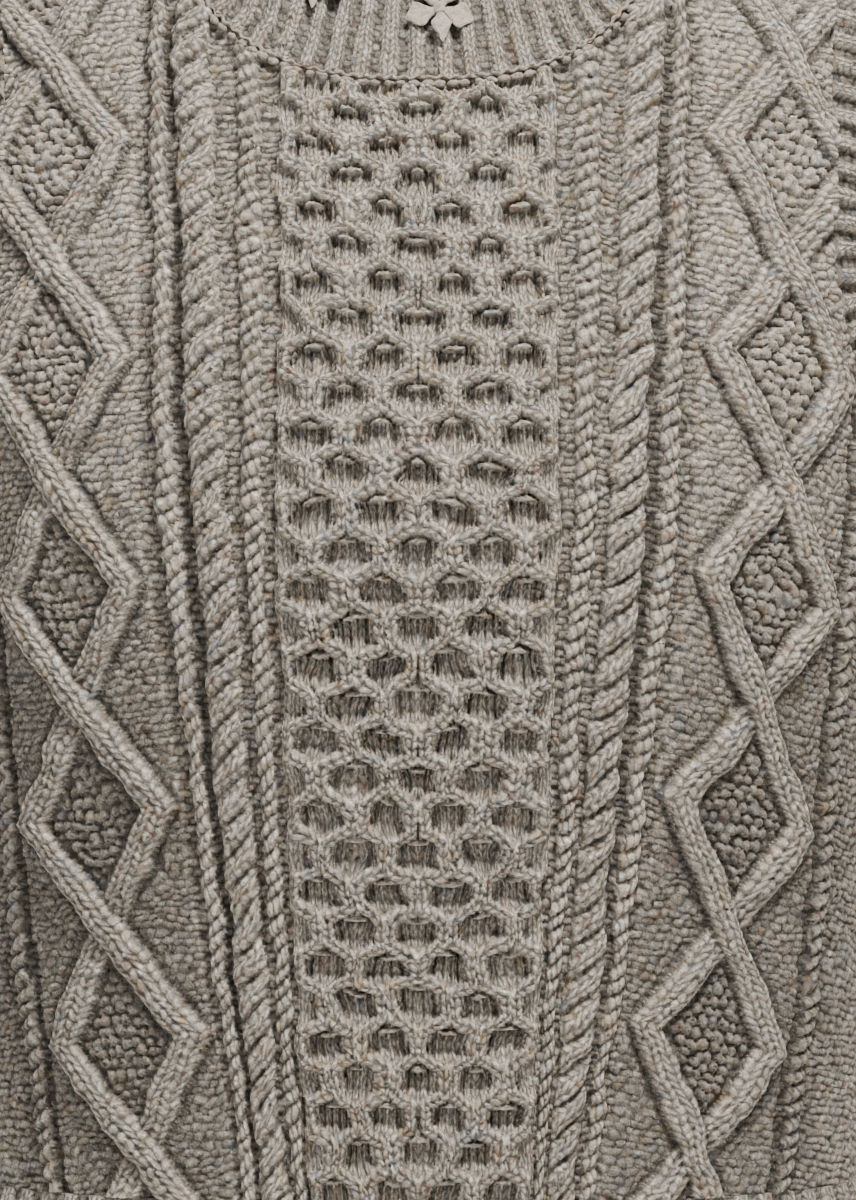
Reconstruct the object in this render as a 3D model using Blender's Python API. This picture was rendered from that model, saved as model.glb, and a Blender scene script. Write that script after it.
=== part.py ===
"""Sleeveless cabled pullover in thick wool, open and hollow as it sits on a general figure.

The cloth is measured in two directions: arc, round the body from the centre line, and v, down the
cloth from the shoulder ridge. Every column of stitches is a line of points down the cloth, and
neighbouring columns are stitched together into the wall. Front faces -Y, up is +Z, and the origin
is midway between the neck points, at the height of the shoulder ridge. Sizes are in millimetres.
"""
import math

import bmesh
import bpy
import numpy as np

MM = 0.001

# Cloth and knitting
GAP = 0.3                 # between two pieces that are sewn together
WALL = 3.0                # plain knitted cloth
REPEAT = 91.0             # one diamond, three honeycomb cells, seven rope crossings
ROWS_A_REPEAT = 12        # rows of points
ROPE_CROSSINGS = 7
FIRST_CROSSING = 151.0    # drop from the ridge to the diamonds' first crossing
CREST = 4.5               # cable ridge over plain cloth
COLUMN_CREST = 2.5        # narrow twisted columns
FOOT = 0.2                # where a cable meets the plain cloth
SWAY = 0.24               # sideways swing of a honeycomb ridge, as a share of its half cell
SADDLE = 1.7              # mean height of the honeycomb between two hollows
ROPE_CREST = 3.1
ROPE_SWELL = 1.4          # a rope's strands rise and dip by this
ROPE_FOOT = 0.4
ROPE_LEAN = 0.9           # a strand climbs this much of a crossing's pitch from edge to edge
ROPE_START = {1: 0.7, -1: 0.95}   # place of a crest at the first crossing, by hand
STRAND = 12.0             # width of a diamond's strand
INNER_TIP = 5 / 12        # the rows droop to the sides, so a diamond's inner tip comes early in its
OUTER_TIP = 7 / 12        # repeat and its outer tip late
SPREAD_NEAR = 3.2         # a strand's distance from the diamond's middle at a crossing
SPREAD_FAR = 29.0         # and at the diamond's widest
MEETING = 9.0             # strands part over this distance
MEETING_DIP = 0.7         # the crossing lies this far under the crest
MOSS = 0.8                # moss stitch inside the diamonds
INNER_FINE = 95.0         # the plain inner face has closer rows above this v
CLEAR = 0.4               # share of a row kept free of points at a column's ends
CROWD_STEP = 1.3          # columns crowded along the armhole are this far apart
CROWD_FADE = 6.0          # and lose their height over this distance

# Cut of the panels
NECK_HALF = 101.5
NECK_ROUND = 2.6          # squareness of the neckline's U
FRONT_NECK = 108.0        # depth of the front neckline, along the cloth
BACK_NECK = 26.0
SHOULDER_TIP = 172.0
SHOULDER_SLOPE = 0.40
SHOULDER_START = 7.0      # the slope begins this far inside the neck point
SHOULDER_SOFT = 6.0
SHOULDER_FADE = 260.0     # down to here the shoulder's slope shows in the rows
ARMHOLE_STRAIGHT = 150.0  # the armhole's edge runs straight down to here
UNDERARM = 235.0
HEM_TOP = 530.0
HEM_EDGE = 590.0

# Bands
RIB = 11.6                # one rib and one trough
RIB_CREST = 2.2
NECKBAND = 58.0
NECKBAND_BEND = 14.0      # the band turns up from the shoulder within this height
NECK_DEPTH = 75.0         # from the ridge to the front of the neck, for the way round it
NECK_RISE = 0.9           # the neckband's lean: up, inward at the sides, back in front, forward behind
NECK_LEAN = (0.42, 0.45, 0.05)
ARMHOLE_BAND = 22.0
ARMHOLE_DROOP = 0.18

TANGENT = 9.0             # a seam's direction is taken over this much on each side

# Flowers
FLOWER_TURN = 0.94
FLOWER_PLACES = (("flower_middle", 10.0, 31.0), ("flower_side", -52.0, 41.0))  # node, place, height
PETAL = 18.0
PETALS = 5
PETAL_THICK = 2.6
PETAL_CLEFT = 0.38        # how far out the cleft between two petals reaches, as a share
PETAL_ROUND = 0.6         # lower is blunter
FLOWER_HUB = 1.6
FLOWER_EDGE = 0.9
FLOWER_POINTS = 30

FRONT_PROFILE = (         # station, forward of the ridge, drop below it
    ("ridge", 0, 0),
    ("front shoulder", 24, 9),
    ("collarbone", 47, 38),
    ("neck base", 66, 80),
    ("upper chest", 92, 150),
    ("chest", 108, 215),
    ("full chest", 113, 270),
    ("midriff", 106, 350),
    ("waist", 97, 430),
    ("welt top", 97, 530),
    ("welt edge", 99, 590),
)
BACK_PROFILE = (          # station, behind the ridge, drop below it
    ("ridge", 0, 0),
    ("back shoulder", 26, 9),
    ("nape", 50, 30),
    ("shoulder blade", 86, 125),
    ("upper back", 95, 215),
    ("mid back", 88, 300),
    ("waist", 73, 425),
    ("welt top", 82, 530),
    ("welt edge", 85, 590),
)
FIGURE = (                # drop, half width of the body, squareness of its section
    (0, 215, 2.1),
    (80, 208, 2.2),
    (160, 198, 2.3),
    (235, 190, 2.3),
    (330, 186, 2.3),
    (430, 184, 2.3),
    (530, 182, 2.3),
    (590, 184, 2.3),
)

LEVELS = (60, 250, 449, 530)   # drops at which the widths below are taken
HONEYCOMB_CELLS = 4            # half cells on each side of the centre line
FRONT_BANDS = (                # band, width at the yoke, chest, waist and welt
    ("cell", 13.8, 14.25, 12.0, 11.0),
    ("cell", 13.8, 14.25, 12.0, 11.0),
    ("cell", 13.8, 14.25, 12.0, 11.0),
    ("cell", 13.8, 14.25, 12.0, 11.0),
    ("gap", 9.0, 5.5, 2.0, 1.2),
    ("column", 10.0, 8.0, 6.0, 4.2),
    ("gap", 10.8, 5.5, 2.5, 1.6),
    ("rope", 15.0, 15.0, 13.0, 11.5),
    ("gap", 4.0, 6.0, 3.0, 2.0),
    ("column", 6.0, 8.0, 6.0, 5.0),
    ("gap", 6.0, 8.5, 4.0, 3.0),
    ("diamond", 74.0, 74.0, 74.0, 72.0),
    ("gap", 5.0, 5.0, 4.0, 4.0),
    ("column", 8.0, 8.0, 7.0, 7.0),
)
BACK_BANDS = (
    ("plain", 55.2, 57.0, 48.0, 44.0),
    ("gap", 9.0, 5.5, 2.0, 1.2),
    ("column", 10.0, 8.0, 6.0, 4.2),
    ("gap", 10.8, 5.5, 2.5, 1.6),
    ("rope", 15.0, 15.0, 13.0, 11.5),
    ("gap", 4.0, 6.0, 3.0, 2.0),
    ("column", 6.0, 8.0, 6.0, 5.0),
    ("gap", 6.0, 8.5, 4.0, 3.0),
    ("plain", 74.0, 74.0, 74.0, 72.0),
)

OATMEAL = (0.42, 0.37, 0.31, 1.0)
CREAM = (0.72, 0.66, 0.53, 1.0)


def clear_scene():
    for item in list(bpy.data.objects):
        bpy.data.objects.remove(item, do_unlink=True)


def wool(name, colour):
    material = bpy.data.materials.new(name)
    material.use_nodes = True
    shader = material.node_tree.nodes["Principled BSDF"]
    shader.inputs["Base Color"].default_value = colour
    shader.inputs["Roughness"].default_value = 0.95
    shader.inputs["Metallic"].default_value = 0.0
    return material


def ease(t):
    t = min(max(t, 0.0), 1.0)
    return t * t * (3.0 - 2.0 * t)


def smooth_line(points, samples=16):
    """Even curve through the points; its first point is a mirror plane for the first coordinate."""
    first = np.array([-points[1][0], points[1][1]], float)
    last = 2 * np.array(points[-1], float) - np.array(points[-2], float)
    stations = [first] + [np.array(p, float) for p in points] + [last]
    line = []
    for before, start, end, after in zip(stations, stations[1:], stations[2:], stations[3:]):
        length = np.linalg.norm(end - start)
        leave = (end - before) / (np.linalg.norm(end - start) + np.linalg.norm(start - before))
        arrive = (after - start) / (np.linalg.norm(after - end) + length)
        for k in range(samples):
            t = k / samples
            line.append((2 * t**3 - 3 * t**2 + 1) * start + (t**3 - 2 * t**2 + t) * length * leave
                        + (3 * t**2 - 2 * t**3) * end + (t**3 - t**2) * length * arrive)
    line.append(np.array(points[-1], float))
    return np.array(line)


def shoulder_drop(arc):
    """How far the shoulder line lies below the neck point, at this distance from the centre."""
    past = (abs(arc) - NECK_HALF + SHOULDER_START) / SHOULDER_SOFT
    return SHOULDER_SLOPE * SHOULDER_SOFT * math.log1p(math.exp(past))


class Side:
    """One half of the figure, front or back, as a surface in arc and v."""

    def __init__(self, sign, profile, neck_depth, bands):
        line = smooth_line([(depth, drop) for _, depth, drop in profile])
        steps = np.hypot(*np.diff(line, axis=0).T)
        self.sign = sign
        self.neck_depth = neck_depth
        self.bands = bands
        self.v = np.concatenate([[0.0], np.cumsum(steps)])
        self.depth = line[:, 0]
        self.drop = line[:, 1]
        self.underarm = self.v_at(UNDERARM)
        self.underarm_arc = self.seam_arc(self.underarm)

    def v_at(self, drop):
        return float(np.interp(drop, self.drop, self.v))

    def drop_at(self, v):
        return float(np.interp(v, self.v, self.drop))

    def section(self, drop, depth):
        """Quarter of the body's section, from the centre line to the side, with its arc."""
        rows = np.array(FIGURE, float)
        half = np.interp(drop, rows[:, 0], rows[:, 1])
        square = np.interp(drop, rows[:, 0], rows[:, 2])
        turn = np.linspace(0.0, math.pi / 2, 97)
        x = half * np.sin(turn) ** (2 / square)
        y = max(depth, 0.0) * np.cos(turn) ** (2 / square)
        arc = np.concatenate([[0.0], np.cumsum(np.hypot(np.diff(x), np.diff(y)))])
        return arc, x, y

    def seam_arc(self, v):
        arc, _, _ = self.section(self.drop_at(v), float(np.interp(v, self.v, self.depth)))
        return float(arc[-1])

    def point(self, arc, v):
        """Point on the inner face of the cloth."""
        slip = shoulder_drop(arc) * ease(1.0 - v / SHOULDER_FADE)
        along = max(v - slip, 0.0)
        depth = float(np.interp(along, self.v, self.depth))
        drop = float(np.interp(along, self.v, self.drop)) + slip
        arcs, xs, ys = self.section(drop, depth)
        x = float(np.interp(abs(arc), arcs, xs))
        y = float(np.interp(abs(arc), arcs, ys))
        return np.array([math.copysign(x, arc), self.sign * y, -drop])

    def frame(self, arc, v):
        """Point, outward normal, direction of growing arc and direction of growing v."""
        step = 1.5
        limit = self.seam_arc(v)
        low, high = max(arc - step, -limit), min(arc + step, limit)
        across = self.point(high, v) - self.point(low, v)
        top = shoulder_drop(arc)
        down = self.point(arc, v + step) - self.point(arc, max(v - step, top))
        normal = np.cross(down, across)
        if self.sign > 0:
            normal = -normal
        unit = [w / np.linalg.norm(w) for w in (normal, across, down)]
        return self.point(arc, v), *unit

    def neckline(self, arc):
        share = min(abs(arc) / NECK_HALF, 1.0)
        rise = (1.0 - share**NECK_ROUND) ** (1.0 / NECK_ROUND)
        return shoulder_drop(arc) + self.neck_depth * rise

    def armhole(self, arc):
        share = min((abs(arc) - SHOULDER_TIP) / (self.underarm_arc - SHOULDER_TIP), 1.0)
        return ARMHOLE_STRAIGHT + (self.underarm - ARMHOLE_STRAIGHT) * math.sqrt(1 - (1 - share) ** 2)

    def armhole_arc(self, v):
        share = min(max((v - ARMHOLE_STRAIGHT) / (self.underarm - ARMHOLE_STRAIGHT), 0.0), 1.0)
        return SHOULDER_TIP + (self.underarm_arc - SHOULDER_TIP) * (1 - math.sqrt(1 - share**2))

    def top(self, arc):
        """v of the panel's upper outline: neckline, shoulder seam or armhole."""
        if abs(arc) < NECK_HALF:
            return self.neckline(arc)
        if abs(arc) <= SHOULDER_TIP:
            return shoulder_drop(arc) + GAP / 2
        return self.armhole(arc)

    def edges(self, v):
        """Arcs at which the bands of stitches begin and end, from the centre line outward."""
        drop = self.drop_at(v)
        widths = [np.interp(drop, LEVELS, row[1:]) for row in self.bands]
        return np.concatenate([[0.0], np.cumsum(widths)])

    def phase(self, v):
        """Counts pattern repeats down the cloth; whole numbers are the diamonds' crossings."""
        return (v - self.v_at(FIRST_CROSSING)) / REPEAT


FRONT = Side(-1, FRONT_PROFILE, FRONT_NECK, FRONT_BANDS)
BACK = Side(1, BACK_PROFILE, BACK_NECK, BACK_BANDS)


class Column:
    """A line of stitches down the cloth: where it runs, how far it stands up, how close its points."""

    def __init__(self, arc, height, every=1, rank=0, outside=False, beat=ROWS_A_REPEAT, shift=0.0):
        self.arc = arc
        self.height = height
        self.every = every
        self.rank = rank          # columns with a rank crowd along the armhole, outermost 1
        self.outside = outside    # the plain inner face does without this column
        self.beat = beat          # rows of points in a repeat
        self.shift = shift        # and how far they are moved down, in rows

    @property
    def row(self):
        return REPEAT / self.beat

    def mirrored(self):
        return Column(lambda v: -self.arc(v), self.height, self.every, self.rank, self.outside,
                      self.beat, self.shift)


def fixed(side, band, share, height, every=1, rank=0, beat=ROWS_A_REPEAT, shift=0.0):
    """Column at a fixed share of a band's width."""
    def arc(v):
        edges = side.edges(v)
        return edges[band] + share * (edges[band + 1] - edges[band])
    return Column(arc, height, every, rank, False, beat, shift)


def honeycomb(side, cell):
    """Valley at the cell's inner edge and the ridge that sways between its two valleys."""
    def swing(v):
        return math.cos(2 * math.pi * (3 * side.phase(v) + cell / 2))

    def ridge_arc(v):
        edges = side.edges(v)
        return edges[cell] + (0.5 + SWAY * swing(v)) * (edges[cell + 1] - edges[cell])

    def valley_height(v):
        return FOOT + SADDLE * (1.0 - swing(v))

    return [fixed(side, cell, 0.0, valley_height), Column(ridge_arc, lambda v: CREST)]


def rope(side, band, hand):
    """Rope cable whose strands climb to the wearer's left, a row on each crest and in each trough."""
    beat = 2 * ROPE_CROSSINGS

    def strand(share):
        start = ROPE_START[hand] - hand * ROPE_LEAN * (share - 0.5)

        def height(v):
            return ROPE_CREST + ROPE_SWELL * math.cos(2 * math.pi * (ROPE_CROSSINGS * side.phase(v) - start))
        return fixed(side, band, share, height, 1, 0, beat, 2 * start)

    feet = [fixed(side, band, share, lambda v: ROPE_FOOT, 2) for share in (0.0, 1.0)]
    return feet[:1] + [strand(share) for share in (0.24, 0.5, 0.76)] + feet[1:]


def narrow(side, band, every):
    heights = ((0.0, FOOT), (0.5, COLUMN_CREST), (1.0, FOOT))
    return [fixed(side, band, share, lambda v, h=height: h, every) for share, height in heights]


def diamond(side, band):
    """Two strands that part and cross, with moss stitch between them."""
    half = STRAND / 2

    def spread(v, tip):
        phase = side.phase(v) % 1.0
        share = phase / tip if phase < tip else (1.0 - phase) / (1.0 - tip)
        return SPREAD_NEAR + (SPREAD_FAR - SPREAD_NEAR) * share

    def inner(v):
        return spread(v, INNER_TIP)

    def outer(v):
        return spread(v, OUTER_TIP)

    def place(offset):
        def arc(v):
            edges = side.edges(v)
            return (edges[band] + edges[band + 1]) / 2 + offset(v)
        return arc

    def meeting(v):
        """Height of the strands' inner feet: up where they cross, moss stitch elsewhere."""
        parted = ease((min(inner(v), outer(v)) - SPREAD_NEAR) / MEETING)
        return (1.0 - parted) * (CREST - MEETING_DIP) + parted * MOSS

    offsets = (
        (lambda v: -inner(v) - half, lambda v: FOOT, 0),
        (lambda v: -inner(v), lambda v: CREST, 0),
        (lambda v: min(-inner(v) + half, -MEETING_DIP), meeting, 0),
        (lambda v: max(outer(v) - half, MEETING_DIP), meeting, 4),
        (lambda v: outer(v), lambda v: CREST, 3),
        (lambda v: outer(v) + half, lambda v: FOOT, 2),
    )
    strands = [Column(place(offset), height, 1, rank) for offset, height, rank in offsets]
    outer_edge = fixed(side, band, 1.0, lambda v: 0.0, 2, 1)
    return [fixed(side, band, 0.0, lambda v: 0.0)] + strands + [outer_edge]


def side_field(side, shares, every):
    """Plain cloth from the last band to the side seam."""
    def place(share):
        def arc(v):
            start = side.edges(v)[-1]
            return start + share * (side.seam_arc(v) - GAP / 2 - start)
        return arc
    return [Column(place(share), lambda v: 0.0, every) for share in shares]


def front_half(hand):
    half = []
    for cell in range(HONEYCOMB_CELLS):
        half += honeycomb(FRONT, cell)
    half += [fixed(FRONT, HONEYCOMB_CELLS, 0.0, lambda v: FOOT)]
    half += narrow(FRONT, 5, 2)
    half += rope(FRONT, 7, hand)
    half += [Column(lambda v: (FRONT.edges(v)[8] + FRONT.edges(v)[9]) / 2, lambda v: 0.0, 2)]
    half += narrow(FRONT, 9, 2)
    half += diamond(FRONT, 11)
    half += narrow(FRONT, 13, 4)
    half += side_field(FRONT, (0.33, 0.66, 1.0), 4)
    return half


def back_half(hand):
    half = [fixed(BACK, 0, share, lambda v: 0.0, 4) for share in (0.0, 0.34, 0.68, 1.0)]
    half += narrow(BACK, 2, 4)
    half += rope(BACK, 4, hand)
    half += [Column(lambda v: (BACK.edges(v)[5] + BACK.edges(v)[6]) / 2, lambda v: 0.0, 4)]
    half += narrow(BACK, 6, 4)
    half += [fixed(BACK, 8, share, lambda v: 0.0, 4) for share in (0.0, 0.33, 0.66)]
    half += [fixed(BACK, 8, 1.0, lambda v: 0.0, 4, 1)]
    half += side_field(BACK, (0.25, 0.5, 0.75, 1.0), 4)
    return half


def both_halves(half):
    """All columns of a panel; the middle one belongs to the left half."""
    return [column.mirrored() for column in half(-1)[:0:-1]] + half(1)


def stitch(left, right, closed=False):
    """Triangles between two lines of (measure, vertex), taking the smaller next measure first."""
    if closed:
        left = left + [(left[0][0] + 1.0, left[0][1])]
        right = right + [(right[0][0] + 1.0, right[0][1])]
    faces = []
    i = j = 0
    while i < len(left) - 1 or j < len(right) - 1:
        can_left = i < len(left) - 1
        can_right = j < len(right) - 1
        if can_left and (not can_right or left[i + 1][0] <= right[j + 1][0] + 1e-6):
            faces.append((left[i][1], right[j][1], left[i + 1][1]))
            i += 1
        else:
            faces.append((left[i][1], right[j][1], right[j + 1][1]))
            j += 1
    return faces


def new_object(name, vertices, faces, material, collection):
    mesh = bpy.data.meshes.new(name)
    mesh.from_pydata([tuple(c * MM for c in v) for v in vertices], [], faces)
    work = bmesh.new()
    work.from_mesh(mesh)
    bmesh.ops.recalc_face_normals(work, faces=work.faces)
    if work.calc_volume(signed=True) < 0:
        bmesh.ops.reverse_faces(work, faces=work.faces)
    work.to_mesh(mesh)
    work.free()
    mesh.materials.append(material)
    mesh.shade_smooth()
    mesh.set_sharp_from_angle(angle=math.radians(30))
    item = bpy.data.objects.new(name, mesh)
    collection.objects.link(item)
    return item


class Wall:
    """A panel of cloth: outer face with its raised knitting, plain inner face, rim between them."""

    def __init__(self, side, columns, top, bottom):
        self.side = side
        self.columns = columns
        self.top = top
        self.bottom = bottom
        self.vertices = []
        self.stations = []        # arc and v of each vertex
        self.faces = []

    def column_arc(self, column, v):
        arc = column.arc(v)
        if column.rank and v < self.side.underarm:
            limit = self.side.armhole_arc(v) - CROWD_STEP * (column.rank - 1)
            arc = math.copysign(min(abs(arc), limit), arc)
        return arc

    def column_top(self, column):
        meets_armhole = not column.rank and abs(column.arc(self.side.underarm)) > SHOULDER_TIP
        v = self.side.underarm if meets_armhole else ARMHOLE_STRAIGHT / 2
        for _ in range(8):
            arc = self.column_arc(column, v)
            if column.rank:
                arc = math.copysign(min(abs(arc), SHOULDER_TIP), arc)
            v = self.top(arc)
        return v

    def rows(self, column, start, keep):
        """v of a column's points: its top, the rows of the pattern, and the bottom."""
        first = self.side.v_at(FIRST_CROSSING) + column.shift * column.row
        low = math.ceil((start - first) / column.row + CLEAR)
        high = math.floor((self.bottom - first) / column.row - CLEAR)
        places = [(k, first + k * column.row) for k in range(low, high + 1)]
        return [start] + [v for k, v in places if keep(k, v)] + [self.bottom]

    def line(self, column, rows, raised):
        points = []
        for v in rows:
            arc = self.column_arc(column, v)
            point, normal, _, _ = self.side.frame(arc, v)
            if raised:
                crowded = abs(column.arc(v)) - abs(arc)
                height = column.height(v) * max(1.0 - crowded / CROWD_FADE, 0.0)
                point = point + normal * (WALL + height)
            points.append((v, len(self.vertices)))
            self.vertices.append(point)
            self.stations.append((arc, v))
        return points

    def release(self, column, neighbour, line):
        """Index of the point where the column along the armhole leaves it for its outer neighbour."""
        low = self.side.underarm
        if column.rank != 1 or abs(neighbour.arc(low)) < abs(column.arc(low)):
            return 0
        leave = self.side.armhole(column.arc(low))
        return max(k for k, (v, _) in enumerate(line) if v <= leave)

    def skin(self, raised):
        """Stitches neighbouring columns together and returns them with the upper outline."""
        def keep(column):
            if column.rank == 1:
                return lambda k, v: k % column.every == 0 or v < self.side.underarm
            if raised:
                return lambda k, v: k % column.every == 0
            return lambda k, v: k % (2 if v < INNER_FINE else 8) == 0

        lines = []
        for number, column in enumerate(self.columns):
            if raised or not column.outside:
                rows = self.rows(column, self.column_top(column), keep(column))
                lines.append((number, column, self.line(column, rows, raised)))
        outline = []
        for (number, column, left), (_, neighbour, right) in zip(lines, lines[1:]):
            begin_left = self.release(column, neighbour, left)
            begin_right = self.release(neighbour, column, right)
            outline.append((number, left[0][1]))
            for k in range(1, begin_left + 1):
                reach = (left[k][0] - left[0][0]) / (right[0][0] - left[0][0] + column.row)
                outline.append((number + 0.9 * reach, left[k][1]))
            for k in range(begin_right, 0, -1):
                reach = (right[k][0] - right[0][0]) / (left[0][0] - right[0][0] + column.row)
                outline.append((number + 1 - 0.9 * reach, right[k][1]))
            self.faces += stitch(left[begin_left:], right[begin_right:])
        outline.append((lines[-1][0], lines[-1][2][0][1]))
        return lines, outline

    def build(self, name, material, collection):
        outer, outer_top = self.skin(True)
        inner, inner_top = self.skin(False)
        outer_hem = [(number, line[-1][1]) for number, _, line in outer]
        inner_hem = [(number, line[-1][1]) for number, _, line in inner]
        self.seam = [self.stations[vertex] for _, vertex in inner_top]
        self.faces += stitch(outer_top, inner_top)
        self.faces += stitch(outer_hem, inner_hem)
        self.faces += stitch(outer[0][2], inner[0][2])
        self.faces += stitch(outer[-1][2], inner[-1][2])
        return new_object(name, self.vertices, self.faces, material, collection)


def welt(side, name, material, collection):
    """Ribbed welt under a panel, with whole ribs from seam to seam."""
    top = side.v_at(HEM_TOP) + GAP / 2
    bottom = side.v_at(HEM_EDGE)
    count = 2 * round(side.seam_arc(top) / RIB)

    def place(k):
        return lambda v: (side.seam_arc(v) - GAP / 2) * k / count

    columns = []
    for k in range(-count, count + 1):
        height = RIB_CREST if k % 2 else 0.0
        columns.append(Column(place(k), lambda v, h=height: h, 5, 0, bool(k % 2)))
    wall = Wall(side, columns, lambda arc: top, bottom)
    return wall.build(name, material, collection)


class Loop:
    """Seam line round an opening: where each stretch of its band starts and which way it grows."""

    def __init__(self, stretches, inward):
        frames = [(side.frame(arc, v), arc) for side, line in stretches for arc, v in line]
        points = np.array([frame[0] for frame, _ in frames])
        steps = np.linalg.norm(np.roll(points, -1, axis=0) - points, axis=1)
        self.measure = np.concatenate([[0.0], np.cumsum(steps)])
        self.length = float(self.measure[-1])
        self.points = points
        self.normals = np.array([frame[1] for frame, _ in frames])
        self.inward = inward
        self.centre = self.measure[min(range(len(frames)), key=lambda k: abs(frames[k][1]))]

    def take(self, table, s):
        closed = np.vstack([table, table[:1]])
        return np.array([np.interp(s % self.length, self.measure, closed[:, k]) for k in range(3)])

    def at(self, s):
        """Point, outward normal and growing direction at a distance s round the seam."""
        point = self.take(self.points, s)
        normal = self.take(self.normals, s)
        normal /= np.linalg.norm(normal)
        along = self.take(self.points, s + TANGENT) - self.take(self.points, s - TANGENT)
        grow = np.cross(along, normal)
        grow /= np.linalg.norm(grow)
        if np.dot(grow, self.inward - point) < 0:
            grow = -grow
        return point, normal, grow

    def band_point(self, s, height, out):
        """Point on the band that grows from this seam, out from its inner face."""
        point, normal, grow = self.at(s)
        steps = 12
        path = point + GAP * grow
        heading = grow
        for k in range(steps):
            reached = height * (k + 0.5) / steps
            heading = self.heading(point, normal, grow, reached)
            path = path + heading * height / steps
        heading = self.heading(point, normal, grow, height)
        face = normal - np.dot(normal, heading) * heading
        return path + out * face / np.linalg.norm(face)


class NeckLoop(Loop):
    def __init__(self, front, back):
        edge = [[(arc, v) for arc, v in wall.seam if abs(arc) < NECK_HALF + GAP] for wall in (front, back)]
        super().__init__(((FRONT, edge[0][::-1]), (BACK, edge[1])), np.array([0.0, 0.0, 30.0]))

    def heading(self, point, normal, grow, height):
        """Up and inward round the neck, the same lean as the chest in front."""
        round_neck = math.atan2(point[0] / NECK_HALF, -point[1] / NECK_DEPTH)
        sideways, ahead, behind = NECK_LEAN
        forward = math.cos(round_neck)
        lean = ahead * max(forward, 0.0) - behind * max(-forward, 0.0)
        rising = np.array([-sideways * math.sin(round_neck), lean, NECK_RISE])
        rising /= np.linalg.norm(rising)
        blend = ease(height / NECKBAND_BEND)
        heading = (1 - blend) * grow + blend * rising
        return heading / np.linalg.norm(heading)


class ArmholeLoop(Loop):
    def __init__(self, front, back, hand):
        edge = [[(arc, v) for arc, v in wall.seam if hand * arc > SHOULDER_TIP - GAP]
                for wall in (front, back)]
        super().__init__(((FRONT, edge[0]), (BACK, edge[1][::-1])), np.array([hand * 400.0, 0.0, -140.0]))

    def heading(self, point, normal, grow, height):
        droop = ARMHOLE_DROOP * ease(height / ARMHOLE_BAND)
        heading = grow - droop * normal
        return heading / np.linalg.norm(heading)


def band(loop, heights, name, material, collection):
    """Ribbed band round an opening: two points for each rib outside, one inside."""
    ribs = round(loop.length / RIB)
    vertices, faces = [], []

    def ring(height, count, out):
        line = []
        for k in range(count):
            s = loop.length * k / count
            line.append((k / count, len(vertices)))
            vertices.append(loop.band_point(s, height, out(k)))
        return line

    outer = [ring(h, 2 * ribs, lambda k: WALL + (RIB_CREST if k % 2 else 0.0)) for h in heights]
    inner = [ring(h, ribs, lambda k: 0.0) for h in heights]
    for low, high in zip(outer, outer[1:]):
        faces += stitch(low, high, True)
    for low, high in zip(inner, inner[1:]):
        faces += stitch(low, high, True)
    faces += stitch(outer[0], inner[0], True)
    faces += stitch(outer[-1], inner[-1], True)
    return new_object(name, vertices, faces, material, collection)


def flower(loop, centre, height, turn, name, material, collection):
    """Five-petalled flower lying on the neckband's ribs."""
    base = WALL + RIB_CREST + GAP
    vertices, faces = [], []

    def reach(angle):
        lobe = abs(math.cos(PETALS * (angle - turn) / 2))
        return PETAL * (PETAL_CLEFT + (1.0 - PETAL_CLEFT) * lobe**PETAL_ROUND)

    def ring(share, thickness):
        line = []
        for k in range(FLOWER_POINTS):
            angle = 2 * math.pi * k / FLOWER_POINTS
            lobe = abs(math.cos(PETALS * (angle - turn) / 2))
            far = share * reach(angle)
            s = centre + far * math.cos(angle)
            rise = height + far * math.sin(angle)
            line.append((k / FLOWER_POINTS, len(vertices)))
            vertices.append(loop.band_point(s, rise, base + thickness * (0.55 + 0.45 * lobe)))
        return line

    def hub(out):
        vertices.append(loop.band_point(centre, height, out))
        return len(vertices) - 1

    top = hub(base + FLOWER_HUB)
    rings = [ring(0.55, PETAL_THICK), ring(1.0, FLOWER_EDGE), ring(0.97, 0.0)]
    under = hub(base)
    for low, high in zip(rings, rings[1:]):
        faces += stitch(low, high, True)
    for (_, a), (_, b) in zip(rings[0], rings[0][1:] + rings[0][:1]):
        faces.append((top, a, b))
    for (_, a), (_, b) in zip(rings[-1], rings[-1][1:] + rings[-1][:1]):
        faces.append((under, b, a))
    return new_object(name, vertices, faces, material, collection)


def main():
    clear_scene()
    vest = bpy.data.collections.new("sweater_vest")
    bpy.context.scene.collection.children.link(vest)
    names = ("panel_wool", "welt_wool", "neckband_wool", "armhole_wool")
    oatmeal = {name: wool(name, OATMEAL) for name in names}
    cream = wool("flower_wool", CREAM)

    front = Wall(FRONT, both_halves(front_half), FRONT.top, FRONT.v_at(HEM_TOP) - GAP / 2)
    front.build("front", oatmeal["panel_wool"], vest)
    back = Wall(BACK, both_halves(back_half), BACK.top, BACK.v_at(HEM_TOP) - GAP / 2)
    back.build("back", oatmeal["panel_wool"], vest)
    welt(FRONT, "hem_rib_front", oatmeal["welt_wool"], vest)
    welt(BACK, "hem_rib_back", oatmeal["welt_wool"], vest)

    neck = NeckLoop(front, back)
    band(neck, (0.0, 7.0, 14.0, 34.0, NECKBAND), "neckband", oatmeal["neckband_wool"], vest)
    for hand, name in ((1, "armhole_band_left"), (-1, "armhole_band_right")):
        loop = ArmholeLoop(front, back, hand)
        band(loop, (0.0, 11.0, ARMHOLE_BAND), name, oatmeal["armhole_wool"], vest)

    for name, place, height in FLOWER_PLACES:
        centre = neck.centre - place
        flower(neck, centre, height, FLOWER_TURN, name, cream, vest)


main()
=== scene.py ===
import math

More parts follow.
